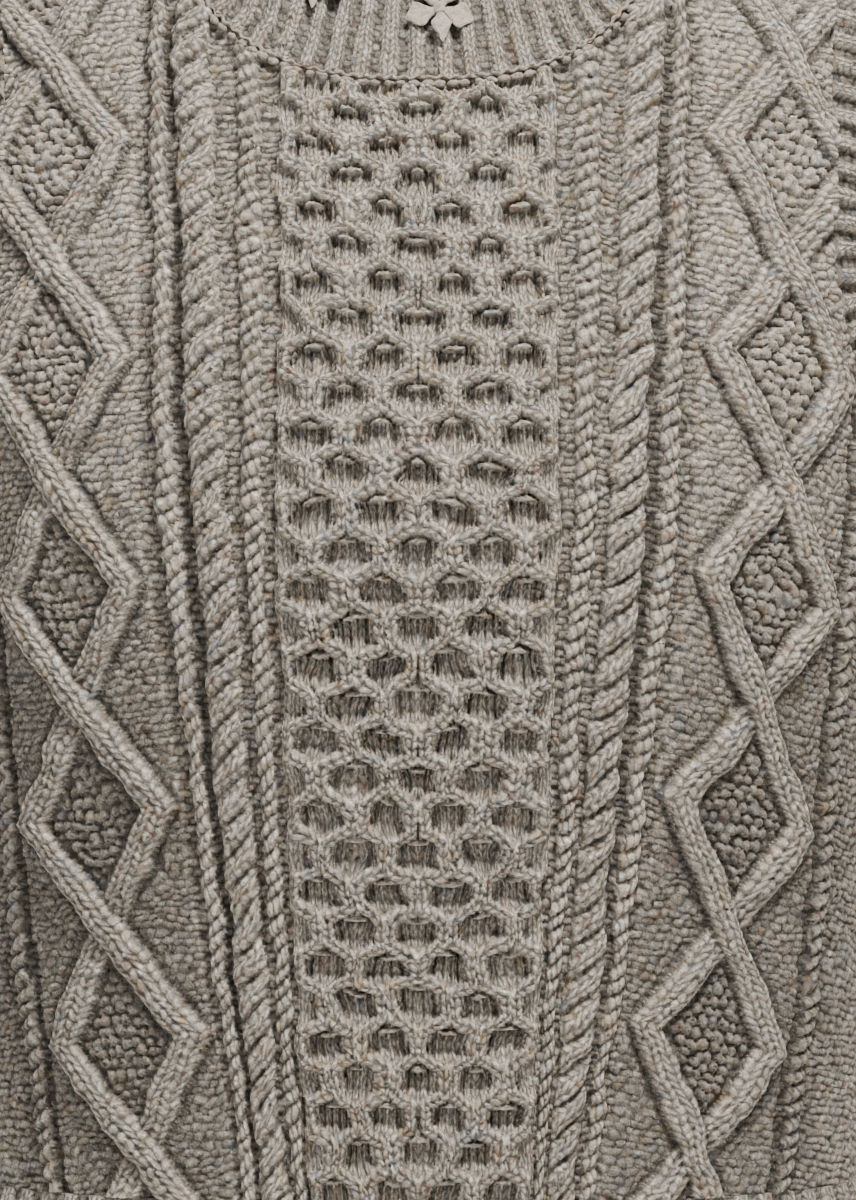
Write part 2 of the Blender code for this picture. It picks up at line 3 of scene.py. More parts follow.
import bpy
import bmesh
import mathutils
import numpy as np
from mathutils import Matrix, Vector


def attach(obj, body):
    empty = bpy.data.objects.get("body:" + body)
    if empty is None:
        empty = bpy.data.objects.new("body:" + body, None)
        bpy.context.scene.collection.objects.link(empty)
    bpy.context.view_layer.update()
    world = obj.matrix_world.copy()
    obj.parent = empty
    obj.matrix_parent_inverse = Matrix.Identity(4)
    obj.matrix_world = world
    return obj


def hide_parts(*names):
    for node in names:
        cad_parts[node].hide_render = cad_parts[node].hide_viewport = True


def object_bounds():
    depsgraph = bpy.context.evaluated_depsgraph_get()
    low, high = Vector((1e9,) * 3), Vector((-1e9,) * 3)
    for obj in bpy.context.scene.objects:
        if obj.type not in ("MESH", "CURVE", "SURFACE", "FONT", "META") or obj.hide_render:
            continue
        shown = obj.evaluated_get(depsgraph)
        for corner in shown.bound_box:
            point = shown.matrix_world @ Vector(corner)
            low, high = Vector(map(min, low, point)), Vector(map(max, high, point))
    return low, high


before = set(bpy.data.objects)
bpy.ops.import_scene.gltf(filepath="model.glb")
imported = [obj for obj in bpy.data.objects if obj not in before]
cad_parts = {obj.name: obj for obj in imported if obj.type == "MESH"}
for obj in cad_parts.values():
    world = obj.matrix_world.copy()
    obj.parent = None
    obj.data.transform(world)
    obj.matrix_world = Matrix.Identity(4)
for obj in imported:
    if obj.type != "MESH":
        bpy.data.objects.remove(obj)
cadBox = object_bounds()
print("frame loaded")

# Lengths below are in millimetres, in the frame's axes: front -Y, up +Z, the wearer's left +X.
# Cloth is measured by arc, round the body from the centre line, and by v, down from the shoulder.
mm = 0.001
cloth = {
    "wall": 3.0,
    "gap": 0.15,             # half the space between two sewn pieces
    "repeat": 91.0,          # one diamond, three honeycomb cells, seven rope crossings
    "firstCrossing": 151.0,
    "stitch": 4.6,           # width of a plain stitch
    "rows": 28,              # rows of stitches in a repeat
    "neckHalf": 101.5,
    "neckRound": 2.6,
    "frontNeck": 108.0,
    "backNeck": 26.0,
    "shoulderTip": 172.0,
    "shoulderSlope": 0.40,
    "shoulderFade": 260.0,
    "armholeStraight": 150.0,
    "underarm": 235.0,
    "hemTop": 530.0,
    "hemEdge": 590.0,
    "rib": 11.6,
}
rowHeight = cloth["repeat"] / cloth["rows"]

figure = {
    "front": [(0, 0), (24, 9), (47, 38), (66, 80), (92, 150), (108, 215), (113, 270),
              (106, 350), (97, 430), (97, 530), (99, 590)],        # how far forward, how far down
    "back": [(0, 0), (26, 9), (50, 30), (86, 125), (95, 215), (88, 300), (73, 425),
             (82, 530), (85, 590)],
    "width": [(0, 215, 2.1), (80, 208, 2.2), (160, 198, 2.3), (235, 190, 2.3), (330, 186, 2.3),
              (430, 184, 2.3), (530, 182, 2.3), (590, 184, 2.3)],  # how far down, half width, squareness
}

# Widths of the bands of stitches from the centre line out, at the yoke, chest, waist and welt.
levels = (60, 250, 449, 530)
cell = ("cell", 13.8, 14.25, 12.0, 11.0)
frontBands = [
    cell, cell, cell, cell,
    ("gap", 9.0, 5.5, 2.0, 1.2),
    ("column", 10.0, 8.0, 6.0, 4.2),
    ("gap", 10.8, 5.5, 2.5, 1.6),
    ("rope", 15.0, 15.0, 13.0, 11.5),
    ("gap", 4.0, 6.0, 3.0, 2.0),
    ("column", 6.0, 8.0, 6.0, 5.0),
    ("gap", 6.0, 8.5, 4.0, 3.0),
    ("diamond", 74.0, 74.0, 74.0, 72.0),
    ("gap", 5.0, 5.0, 4.0, 4.0),
    ("column", 8.0, 8.0, 7.0, 7.0),
]
backBands = [("plain", 55.2, 57.0, 48.0, 44.0)] + frontBands[4:11] + [("plain", 74.0, 74.0, 74.0, 72.0)]


def ease(t):
    t = np.clip(t, 0.0, 1.0)
    return t * t * (3 - 2 * t)


def dome(d):
    return np.sqrt(np.clip(1 - d * d, 0, 1))


def unit(vectors):
    return vectors / np.maximum(np.linalg.norm(vectors, axis=-1, keepdims=True), 1e-9)


def dot(a, b):
    return (a * b).sum(-1, keepdims=True)


def smoothProfile(points, samples=16):
    first = np.array([-points[1][0], points[1][1]], float)
    last = 2 * np.array(points[-1], float) - np.array(points[-2], float)
    stations = [first] + [np.array(p, float) for p in points] + [last]
    line = []
    for before, start, end, after in zip(stations, stations[1:], stations[2:], stations[3:]):
        length = np.linalg.norm(end - start)
        leave = (end - before) / (length + np.linalg.norm(start - before))
        arrive = (after - start) / (np.linalg.norm(after - end) + length)
        for k in range(samples):
            t = k / samples
            line.append((2 * t**3 - 3 * t**2 + 1) * start + (t**3 - 2 * t**2 + t) * length * leave
                        + (3 * t**2 - 2 * t**3) * end + (t**3 - t**2) * length * arrive)
    line.append(np.array(points[-1], float))
    return np.array(line)


def shoulderDrop(arc):
    past = (np.abs(arc) - cloth["neckHalf"] + 7.0) / 6.0
    return cloth["shoulderSlope"] * 6.0 * np.log1p(np.exp(np.minimum(past, 40.0)))


class Panel:  # the front or the back of the figure, with the bands of stitches that cover it

    def __init__(self, sign, profile, bands, neckDepth):
        self.sign, self.bands, self.neckDepth = sign, bands, neckDepth
        line = smoothProfile(profile)
        self.v = np.concatenate([[0.0], np.cumsum(np.hypot(*np.diff(line, axis=0).T))])
        self.depth, self.drop = line.T
        self.widths = np.array([band[1:] for band in bands], float)
        self.kinds = [band[0] for band in bands]
        self.firstCrossing = self.vAt(cloth["firstCrossing"])
        self.underarm = self.vAt(cloth["underarm"])
        self.rows = np.arange(0.0, self.vAt(cloth["hemEdge"]) + 4.0, 3.0)
        depth = np.interp(self.rows, self.v, self.depth)
        arcs, _, _ = self.section(np.interp(self.rows, self.v, self.drop), depth)
        self.reach = arcs[:, -1]
        self.underarmArc = float(np.interp(self.underarm, self.rows, self.reach))
        share = np.linspace(0.0, 1.0, 121)
        arc = (share[None, :] * self.reach[:, None]).ravel()
        points = self.lay(arc, np.repeat(self.rows, len(share))).reshape(len(self.rows), len(share), 3)
        self.points = points
        normals = np.cross(np.gradient(points, axis=0), np.gradient(points, axis=1)) * -sign
        normals[:, 0, 0] = 0.0
        self.normals = unit(normals)

    def vAt(self, drop):
        return float(np.interp(drop, self.drop, self.v))

    def section(self, drop, depth):
        down, half, square = np.array(figure["width"], float).T
        half, square = np.interp(drop, down, half)[:, None], np.interp(drop, down, square)[:, None]
        turn = np.linspace(0.0, math.pi / 2, 97)
        x = half * np.sin(turn) ** (2 / square)
        y = np.maximum(depth, 0.0)[:, None] * np.cos(turn) ** (2 / square)
        steps = np.hypot(np.diff(x, axis=1), np.diff(y, axis=1))
        return np.concatenate([np.zeros((len(x), 1)), np.cumsum(steps, axis=1)], axis=1), x, y

    def lay(self, arc, v):
        slip = shoulderDrop(arc) * ease(1 - v / cloth["shoulderFade"])
        along = np.maximum(v - slip, 0.0)
        drop = np.interp(along, self.v, self.drop) + slip
        arcs, x, y = self.section(drop, np.interp(along, self.v, self.depth))
        k = np.clip((arcs < np.abs(arc)[:, None]).sum(1), 1, arcs.shape[1] - 1)
        n = np.arange(len(k))
        share = np.clip((np.abs(arc) - arcs[n, k - 1]) / np.maximum(arcs[n, k] - arcs[n, k - 1], 1e-9), 0, 1)
        across = x[n, k - 1] + share * (x[n, k] - x[n, k - 1])
        out = y[n, k - 1] + share * (y[n, k] - y[n, k - 1])
        return np.stack([across, self.sign * out, -drop], axis=1)

    def place(self, arc, v):  # point on the inner face and the outward normal there
        i = np.clip(v / 3.0, 0, len(self.rows) - 1.001)
        reach = np.interp(v, self.rows, self.reach)
        j = np.clip(np.abs(arc) / reach, 0, 1) * (self.points.shape[1] - 1.001)
        i0, j0 = i.astype(int), j.astype(int)
        fi, fj = (i - i0)[:, None], (j - j0)[:, None]
        side = np.where(arc < 0, -1.0, 1.0)

        def blend(table):
            mixed = ((1 - fi) * (1 - fj) * table[i0, j0] + fi * (1 - fj) * table[i0 + 1, j0]
                     + (1 - fi) * fj * table[i0, j0 + 1] + fi * fj * table[i0 + 1, j0 + 1])
            mixed[:, 0] *= side
            return mixed
        return blend(self.points), unit(blend(self.normals))

    def edges(self, v):
        drop = np.interp(v, self.v, self.drop)
        widths = np.stack([np.interp(drop, levels, row) for row in self.widths], axis=-1)
        return np.concatenate([np.zeros(widths.shape[:-1] + (1,)), np.cumsum(widths, axis=-1)], axis=-1)

    def sideArc(self, v):
        return np.interp(v, self.rows, self.reach) - cloth["gap"]

    def armholeArc(self, v):
        share = np.clip((v - cloth["armholeStraight"]) / (self.underarm - cloth["armholeStraight"]), 0, 1)
        curve = cloth["shoulderTip"] + (self.underarmArc - cloth["shoulderTip"]) * (1 - np.sqrt(1 - share**2))
        return np.where(v < self.underarm, curve, self.sideArc(v))

    def top(self, arc):  # v of the neckline or the shoulder seam
        share = np.minimum(np.abs(arc) / cloth["neckHalf"], 1.0)
        rise = (1 - share ** cloth["neckRound"]) ** (1 / cloth["neckRound"])
        return shoulderDrop(arc) + np.where(share < 1, self.neckDepth * rise, cloth["gap"])

    def phase(self, v):
        return (v - self.firstCrossing) / cloth["repeat"]


front = Panel(-1, figure["front"], frontBands, cloth["frontNeck"])
back = Panel(1, figure["back"], backBands, cloth["backNeck"])
print("figure laid out")

# Kinds of knitting, as the material reads them.
knit, purl, moss, single = 0.0, 1.0, 2.0, 3.0
absent = -9.0                # height where a ridge or a brow isn't
relief = {
    "crest": 5.2,            # ridges of the honeycomb and the diamonds over plain cloth
    "sway": 0.35,            # sideways place of a honeycomb ridge, as a share of its lane
    "run": 4.8,              # half the stretch in which two ridges lie side by side
    "slant": 11.15,          # and the length over which they part
    "brow": 3.6,             # loops that hang over the top of each hollow
    "rope": 6.2,             # height of a rope's strands, and how steeply they climb
    "ropeLean": 0.9,
    "ropeStart": {1: 0.7, -1: 0.95},
    "column": 3.9,
    "columnLean": 0.75,
    "strand": 8.2,           # half width of a diamond's strand, measured level
    "spread": 28.5,          # and how far it swings from the middle of its band
    "tilt": {1: 0.24, -1: 0.12},      # rows droop to the sides
    "purlBump": 1.0,
    "mossBump": 3.2,
    "trough": -2.2,          # ground beside the ropes
}


def sineChance(number):
    return np.mod(np.sin(number) * 43758.5453, 1.0)


def noise(x, y, size, seed):  # smooth uneven surface between -1 and 1
    gx, gy = x / size, y / size
    ix, iy = np.floor(gx), np.floor(gy)
    fx, fy = ease(gx - ix), ease(gy - iy)

    def corner(i, j):
        return 2 * sineChance((ix + i) * 127.1 + (iy + j) * 311.7 + seed * 74.7) - 1
    return ((1 - fx) * (1 - fy) * corner(0, 0) + fx * (1 - fy) * corner(1, 0)
            + (1 - fx) * fy * corner(0, 1) + fx * fy * corner(1, 1))


def quads(table):  # the four corners of each face of a grid
    return np.stack([table[:-1, :-1], table[:-1, 1:], table[1:, 1:], table[1:, :-1]], axis=-1)


def hump(d, flat=1.0):
    return np.clip(1 - np.abs(d) ** (2 + flat), 0, 1) ** 0.5


def chanceOf(i, j, seed):  # the material repeats this formula too
    share = np.mod(i * 0.7548777 + j * 0.5698403 + seed * 0.37, 1.0)
    return np.mod(41 * share * share, 1.0)


def brick(u, v, wide=1.9, tall=1.9):  # rounded bumps laid like bricks, as purl stitches are
    shift = 0.5 * np.mod(np.floor(v), 2)
    i, j = np.floor(u + shift), np.floor(v)
    fx, fy = u + shift - i - 0.38 - 0.24 * chanceOf(i, j, 1.0), v - j - 0.3 - 0.4 * chanceOf(i, j, 2.0)
    size = 0.7 + 0.6 * chanceOf(i, j, 3.0)
    return size * np.sqrt(np.clip(1 - (wide * fx) ** 2 - (tall * (fy + 0.25 * fx)) ** 2, 0, 1))


def loopHeight(across, down, kind):  # the material repeats this formula
    fold = np.abs(np.mod(across, 1) - 0.5) * 2
    leg = np.mod(down + fold * 0.7, 1) * 2 - 1
    side = fold * 2 - 1
    knitLoop = np.clip(1 - side ** 2 * 0.95 - leg ** 2 * 0.85, 0, 1) ** 0.7
    knitLoop = knitLoop * (0.7 + 0.6 * chanceOf(np.floor(across * 2), np.floor(down + fold * 0.7), 1.0))
    return np.where((kind < 0.5) | (kind > 2.5), knitLoop, brick(across, down, 1.7, 1.9))


def knobs(u, v, seed):  # round bumps in uneven rows, each moved and sized by chance
    best = np.zeros_like(u)
    for row in (-1, 0, 1):
        j = np.floor(v) + row
        for column in (-1, 0, 1):
            i = np.floor(u + 0.5 * np.mod(j, 2)) + column
            chance = [sineChance(i * 12.9898 + j * 78.233 + seed + k) for k in range(3)]
            du = u + 0.5 * np.mod(j, 2) - i - 0.5 - 0.34 * (chance[0] - 0.5)
            dv = v - j - 0.5 - 0.34 * (chance[1] - 0.5)
            size = 0.47 + 0.1 * chance[2]
            bump = np.sqrt(np.clip(1 - (du**2 + dv**2) / size**2, 0, 1))
            best = np.maximum(best, (0.75 + 0.35 * chance[2]) * bump)
    return best


# Signed distance to a honeycomb ridge's middle line, and the way along it.
def strandPath(u, y, half, period, run):
    side = np.where(y < 0, -1.0, 1.0)
    down = np.abs(y)
    cut = period / 2 - run
    slant = np.array([-2 * half, cut - run])
    length = float(np.hypot(*slant))
    slant = slant / length
    along = np.clip((u - half) * slant[0] + (down - run) * slant[1], 0, length)
    offU, offY = u - half - along * slant[0], down - run - along * slant[1]
    near = [(np.hypot(u - half, np.maximum(down - run, 0)), u - half, np.minimum(down, run)),
            (np.hypot(offU, offY), offU * slant[1] - offY * slant[0], run + along),
            (np.hypot(u + half, np.maximum(cut - down, 0)), u + half,
             run + length + np.maximum(down - cut, 0))]
    distance, signed, way = near[0]
    for other in near[1:]:
        closer = other[0] < distance
        distance, signed, way = [np.where(closer, b, a) for a, b in zip((distance, signed, way), other)]
    return distance * np.where(signed < 0, -1, 1), way * side


def leaf(f):  # profile of one strand of a rope from its upper edge, 0, to its lower edge, 1
    return np.sin(math.pi * np.clip(f, 0, 1) ** 1.25) ** 0.8


def twist(s, turn, nearTurn, deep=0.66):  # height share of a rope, and the place across its strand
    f = turn - np.floor(nearTurn)
    edge = np.clip(np.abs(2 * s) / (1.0 - 0.10 * np.cos(2 * math.pi * (turn - 0.5 + s))), 0, 1.1)
    return hump(edge, 0.3) * (1 - deep + deep * leaf(f)), f


diamondEnd = 1 + [band[0] for band in frontBands].index("diamond")


# Height, stitch place across and down, kind, part and shade; the near values choose the cable.
def knitting(panel, arc, v, nearArc, nearV, chosen=None):
    part, shade = np.zeros_like(arc), np.zeros_like(arc)
    hand = np.where(nearArc < 0, -1.0, 1.0)
    loose = 1 - ease((np.abs(arc) - 46.0) / 12.0)
    bend = 1.5 * noise(arc, v, 19.0, 1) + 1.0 * noise(arc, v, 7.0, 2) + 1.2 * loose * noise(arc, v, 10.5, 51)
    sag = 1.6 * noise(arc, v, 21.0, 3) + 1.0 * noise(arc, v, 7.5, 4) + 1.1 * loose * noise(arc, v, 11.5, 52)
    x, y = hand * arc + bend, v + sag
    nearX, nearY = hand * nearArc + bend, nearV + sag
    edge, nearEdge = panel.edges(y), panel.edges(nearY)
    band = np.clip((nearX[:, None] >= nearEdge[:, 1:]).sum(1), 0, len(panel.bands))
    phase = panel.phase(y)
    tilt = np.where(hand > 0, relief["tilt"][1], relief["tilt"][-1]) if panel.sign < 0 else 0.1
    kinds = np.array(panel.kinds + ["plain"])[band]
    rows = np.arange(len(x))
    left = edge[rows, band]
    right = np.where(band < len(panel.bands), edge[rows, np.minimum(band + 1, edge.shape[1] - 1)], left + 40)
    width = np.maximum(right - left, 0.5)
    share = (x - left) / width

    across = arc / cloth["stitch"] + 0.24 * noise(arc, v, 3.4, 11) + 0.4 * noise(arc, v, 9.0, 24)
    droop = tilt * 12.0 * np.log1p(np.exp(np.clip((x - 62.0) / 12.0, -30, 30)))
    down = (y + 0.8 * noise(arc, v, 4.2, 12) + 0.9 * noise(arc, v, 13.0, 25) - droop) / rowHeight
    ground = relief["purlBump"] * brick(across, down, 1.7, 1.9)
    height = ground.copy()
    kind = np.full_like(x, purl)

    # Painted shade: the ground darkens towards the bottom, where less light falls. Beyond the diamonds it
    # fades out to the side.
    paintedLowShade = 0.1 + 0.52 * ease((y - 190.0) / 230.0)
    if panel.sign < 0:
        beyond = x - edge[:, diamondEnd]
        shade = np.where(beyond > 0, paintedLowShade * (1 - ease(beyond / 75.0)), 0.0)

    here = kinds == "gap"
    sunk = dome(2 * share[here] - 1)
    height[here] = ground[here] * 0.8 + relief["trough"] * sunk * np.clip(width[here] / 5, 0.3, 1)
    # Painted shade along the trough.
    shade[here] += 0.32 * sunk

    here = kinds == "cell"
    if here.any():
        n, u, w = band[here], x[here] - left[here] - width[here] / 2, width[here]
        nearU = nearX[here] - left[here] - width[here] / 2
        nearPhase = panel.phase(nearY[here])
        period = cloth["repeat"] / 3

        def local(number):
            return period * (3 * phase[here] + number / 2 - np.round(3 * nearPhase + number / 2))
        scale = w / 13.8
        signed, way = strandPath(u / scale, local(n), relief["sway"] * 13.8, period, relief["run"])
        way = way * 11 / (2 * (2 * relief["run"] + relief["slant"]))
        fat = 3.25 + 0.5 * noise(x[here], y[here], 8.0, 5)
        signed = signed + 0.45 * noise(x[here], y[here], 4.0, 15)
        ridgeAcross, ridgeDown = signed / 6.6 + 0.5, way + 0.25 * noise(x[here], y[here], 4.0, 16)
        loops = loopHeight(ridgeAcross, ridgeDown, 0.0 * signed)
        ridge = relief["crest"] - 1.0 + 1.6 * loops + 0.5 * noise(x[here], y[here], 6.0, 26)
        ridge = ridge * hump(signed / fat, 0.4)
        ridge *= 1 - 0.75 * ease((u - w / 2 + 2.2) / 2.2) * (n == 3)
        ridge = np.where(np.abs(signed) < fat, ridge, absent)
        nearRight = nearU > 0
        hollow = n + nearRight
        fromMiddle = np.where(nearRight, u - w / 2, u + w / 2)
        inHollow = local(hollow)
        chance = noise(hollow * 13.7, np.round(3 * nearPhase + hollow / 2) * 9.3, 1.0, 14)
        floor = (-1.0 + 3.6 * ease((inHollow - 0.5) / 8.0) + 2.6 * ease((-4.6 - inHollow) / 3.0)
                 + (0.75 + 0.3 * chance) * np.cos(2 * math.pi * fromMiddle / 3.3 + 2 * chance)
                 + 0.7 * noise(x[here], y[here], 2.8, 53))
        floor = np.where(hollow < 4, floor, np.maximum(floor, 0.6))
        under = inHollow + 5.0 - 0.03 * fromMiddle ** 2 - 0.2 * chance * fromMiddle
        away = (((fromMiddle + 1.4 * chance) / (4.5 * scale + chance)) ** 2
                + (under / np.where(under < 0, 1.7, 1.2)) ** 2)
        brow = (relief["brow"] + 0.7 * chance) * np.clip(1 - away, 0, 1) ** 0.4
        brow = np.where((away < 1) & (hollow < 4), brow, absent)
        height[here] = np.maximum(np.maximum(ridge, floor), brow)
        # Painted shade: mostly negative, lightening the hollow floors, the brows and the half hollows at the
        # edge. There is a band of more shade just under each brow and stripes over the floor's stitches.
        shade[here] = np.where(brow > np.maximum(ridge, floor), -0.55,
                               (ridge < floor) * (0.10 * (1 - ease((inHollow - 0.5) / 7.0)) - 0.50
                                                  + 0.12 * np.exp(-((under - 2.4) / 1.4) ** 2)
                                                  - 0.06 * np.cos(2 * math.pi * fromMiddle / 3.3 + 2 * chance)
                                                  - 0.2 * (hollow == 4)))
        part[here] = np.where(brow > np.maximum(ridge, floor), 2, np.where(ridge > floor, 1, 0))
        shown = part[here] if chosen is None else chosen[here]
        across[here] = np.select([shown == 1, shown == 2], [ridgeAcross, 0.25 + (inHollow + 5.0) / 6.0],
                                 fromMiddle / 3.3 + 0.25)
        down[here] = np.select([shown == 1, shown == 2], [ridgeDown, 0.6 + fromMiddle / 9.0], inHollow / 4.0)
        kind[here] = np.where(shown == 0, single, knit)

    here = kinds == "column"
    if here.any():
        s = share[here] - 0.5
        nearS = (nearX[here] - left[here]) / width[here] - 0.5
        lean = hand[here] * relief["columnLean"]
        turn = 14 * phase[here] + 0.14 * noise(x[here], y[here], 5.0, 23) + s * lean
        nearTurn = 14 * panel.phase(nearY[here]) + nearS * lean
        rise, f = twist(s, turn, nearTurn, 0.6)
        across[here] = 0.02 + 0.46 * f + 0.06 * noise(x[here], y[here], 3.0, 22)
        down[here] = 2.6 * hand[here] * s + 0.3 * np.floor(nearTurn) + 0.2 * noise(x[here], y[here], 4.0, 27)
        kind[here] = knit
        height[here] = rise * (relief["column"] - 0.5 + loopHeight(across[here], down[here], kind[here])
                               + 0.5 * noise(x[here], y[here], 4.0, 17))

    here = kinds == "rope"
    if here.any():
        s = share[here] - 0.5
        start = np.where(hand[here] > 0, relief["ropeStart"][1], relief["ropeStart"][-1]) - 0.5
        nearS = (nearX[here] - left[here]) / width[here] - 0.5
        curve = hand[here] * relief["ropeLean"] * s
        nearCurve = hand[here] * relief["ropeLean"] * nearS
        nearTurn = 7 * panel.phase(nearY[here]) - start + nearCurve
        rise, f = twist(s, 7 * phase[here] - start + curve, nearTurn)
        across[here] = 1.6 * f + 0.14 * noise(x[here], y[here], 4.0, 18)
        along = hand[here] * (s + 0.41 * np.floor(nearTurn))
        down[here] = along * width[here] * 1.3 / 4.2 + 0.15 * noise(x[here], y[here], 4.5, 19)
        kind[here] = knit
        height[here] = rise * (relief["rope"] - 0.7 + 1.3 * loopHeight(across[here], down[here], kind[here]))

    here = kinds == "diamond"
    if here.any():
        middle = (left[here] + right[here]) / 2
        offset = x[here] - middle
        wave = (phase[here] - (tilt[here] if np.ndim(tilt) else tilt) * offset / cloth["repeat"]) % 2.0
        spread = relief["spread"] * (1 - np.abs(1 - 2 * (wave % 1.0)))
        spread = np.where(wave < 1, spread, -spread)
        rising = np.where((wave % 1.0) < 0.5, 1.0, -1.0) * np.where(wave < 1, 1.0, -1.0)
        ditch = np.ones(here.sum())
        best, bestAcross, code = np.zeros(here.sum()), np.zeros(here.sum()), np.zeros(here.sum())
        for way in (1.0, -1.0):
            d = (offset - way * spread) / relief["strand"]
            over = way * rising * hand[here] > 0
            dip = np.where(over, -0.6, 4.4) * np.clip(1 - np.abs(spread) / 10.5, 0, 1) ** 0.7
            strandAcross = d * 1.05 + 0.08 * noise(x[here], y[here], 4.0, 20)
            strandDown = y[here] / 3.5 + 0.2 * noise(x[here], y[here], 4.5, 21)
            loops = loopHeight(strandAcross, strandDown, 0.0 * d)
            h = (relief["crest"] + 0.1 - dip + 1.3 * loops) * hump(d, 0.8)
            better = h > best if chosen is None else chosen[here] == 3 + (way > 0)
            best = np.where(better, h, best)
            ditch = np.minimum(ditch, np.abs(np.abs(d) - 1.12))
            bestAcross = np.where(better, strandAcross, bestAcross)
            code = np.where(better, 3 + (way > 0), code)
        inside = np.abs(offset) < np.abs(spread)
        mossGround = relief["mossBump"] * knobs(x[here] / 4.7, down[here] * rowHeight / 4.3, 5.0)
        floor = np.where(inside, mossGround, ground[here]) - 1.0 * np.exp(-(ditch / 0.22) ** 2)
        # Painted shade in the ditches along the strands, and on the ground between them. There is a little on
        # the strands too, and both grow darker towards the bottom.
        shade[here] = 0.4 * np.exp(-(ditch / 0.2) ** 2) * (best < floor + 1.0) + paintedLowShade[here] * (best < floor) \
            + 0.13 * paintedLowShade[here]
        part[here] = np.where(best > np.maximum(floor * 0.8, 0.5), code, np.where(inside, 5, 6))
        shown = part[here] if chosen is None else chosen[here]
        height[here] = np.maximum(best, floor)
        strands = (shown == 3) | (shown == 4)
        kind[here] = np.where(strands, knit, np.where(shown == 5, moss, purl))
        across[here] = np.where(strands, bestAcross, across[here])
        down[here] = np.where(strands, strandDown, down[here])
    height += 0.42 * noise(arc, v, 2.2, 9) + 0.45 * noise(arc, v, 5.5, 10)
    return height, across, down, kind, part, shade


def meshPiece(name, vertices, faces, uvs=None, forms=None):
    mesh = bpy.data.meshes.new(name)
    mesh.from_pydata((np.asarray(vertices) * mm).tolist(), [], faces)
    if uvs is not None:
        mesh.uv_layers.new(name="stitch").data.foreach_set("uv", np.asarray(uvs, np.float32).ravel())
        mesh.uv_layers.new(name="form").data.foreach_set("uv", np.asarray(forms, np.float32).ravel())
    mesh.shade_smooth()
    mesh.validate()
    piece = bpy.data.objects.new(name, mesh)
    bpy.context.scene.collection.objects.link(piece)
    return piece


def cavity(height, reach):  # how far each point lies under the mean of its neighbourhood
    total = np.zeros_like(height)
    count = 0
    for di in range(-reach, reach + 1):
        for dj in range(-reach, reach + 1):
            total += height[np.clip(np.arange(height.shape[0]) + di, 0, height.shape[0] - 1)][
                :, np.clip(np.arange(height.shape[1]) + dj, 0, height.shape[1] - 1)]
            count += 1
    return np.clip((total / count - height) / 2.4 + 0.08, 0, 1)


def zipper(long, short):  # triangles between a chain and the same chain with fewer points
    faces = []
    j = 0
    for i in range(len(long) - 1):
        while j < len(short) - 1 and short[j + 1][0] <= long[i][0]:
            faces.append((long[i][1], short[j][1], short[j + 1][1]))
            j += 1
        faces.append((long[i][1], short[j][1], long[i + 1][1]))
    while j < len(short) - 1:
        faces.append((long[-1][1], short[j][1], short[j + 1][1]))
        j += 1
    return faces


# Closed cloth from a fine outer grid and a coarser inner grid of (places, columns, rows).
def shell(name, outerPlaces, inner, corners, closed=False):
    innerPlaces, innerColumns, innerRows = inner
    columns, rows = outerPlaces.shape[:2]
    vertices = np.concatenate([outerPlaces.reshape(-1, 3), innerPlaces.reshape(-1, 3)])
    keys = np.round(vertices, 3)
    _, first, same = np.unique(keys, axis=0, return_index=True, return_inverse=True)
    same = same.ravel()
    outerId = same[: columns * rows].reshape(columns, rows)
    innerId = same[columns * rows:].reshape(len(innerColumns), len(innerRows))
    faces, uvs, forms = [], [], []
    cornerUv, cornerForm = corners
    for i in range(columns - 1):
        for j in range(rows - 1):
            ids = (outerId[i, j], outerId[i, j + 1], outerId[i + 1, j + 1], outerId[i + 1, j])
            keep = [k for k in range(4) if ids[k] != ids[k - 1]]
            if len(keep) < 3 or len({ids[k] for k in keep}) < 3:
                continue
            faces.append([ids[k] for k in keep])
            uvs.extend(cornerUv[i, j, k] for k in keep)
            forms.extend(cornerForm[i, j, k] for k in keep)

    def plain(triangle):
        if len(set(triangle)) == len(triangle):
            faces.append(list(triangle))
            uvs.extend([(0.25, 0.5)] * len(triangle))
            forms.extend([(0.0, 0.0)] * len(triangle))
    for i in range(len(innerColumns) - 1):
        for j in range(len(innerRows) - 1):
            ids = (innerId[i, j], innerId[i + 1, j], innerId[i + 1, j + 1], innerId[i, j + 1])
            keep = [ids[k] for k in range(4) if ids[k] != ids[k - 1]]
            if len(set(keep)) >= 3:
                plain(keep)
    for j, innerJ in ((0, 0), (rows - 1, len(innerRows) - 1)):
        longer = [(i, outerId[i, j]) for i in range(columns)]
        shorter = [(innerColumns[k], innerId[k, innerJ]) for k in range(len(innerColumns))]
        for triangle in zipper(longer, shorter):
            plain(triangle if j else triangle[::-1])
    if not closed:
        for i, innerI in ((0, 0), (columns - 1, len(innerColumns) - 1)):
            longer = [(j, outerId[i, j]) for j in range(rows)]
            shorter = [(innerRows[k], innerId[innerI, k]) for k in range(len(innerRows))]
            for triangle in zipper(longer, shorter):
                plain(triangle[::-1] if i else triangle)
    piece = meshPiece(name, vertices[first], faces, uvs, forms)
    work = bmesh.new()
    work.from_mesh(piece.data)
    bmesh.ops.recalc_face_normals(work, faces=work.faces)
    if work.calc_volume(signed=True) < 0:
        bmesh.ops.reverse_faces(work, faces=work.faces)
    for sharp in work.edges:
        if len(sharp.link_faces) == 2 and sharp.calc_face_angle(0) > math.radians(75):
            sharp.smooth = False
    loose = sum(1 for e in work.edges if len(e.link_faces) != 2)
    work.to_mesh(piece.data)
    work.free()
    print(name, len(piece.data.polygons), "faces,", loose, "open edges")
    return piece


def coarse(count, step):
    return sorted(set(range(0, count, step)) | {count - 1})


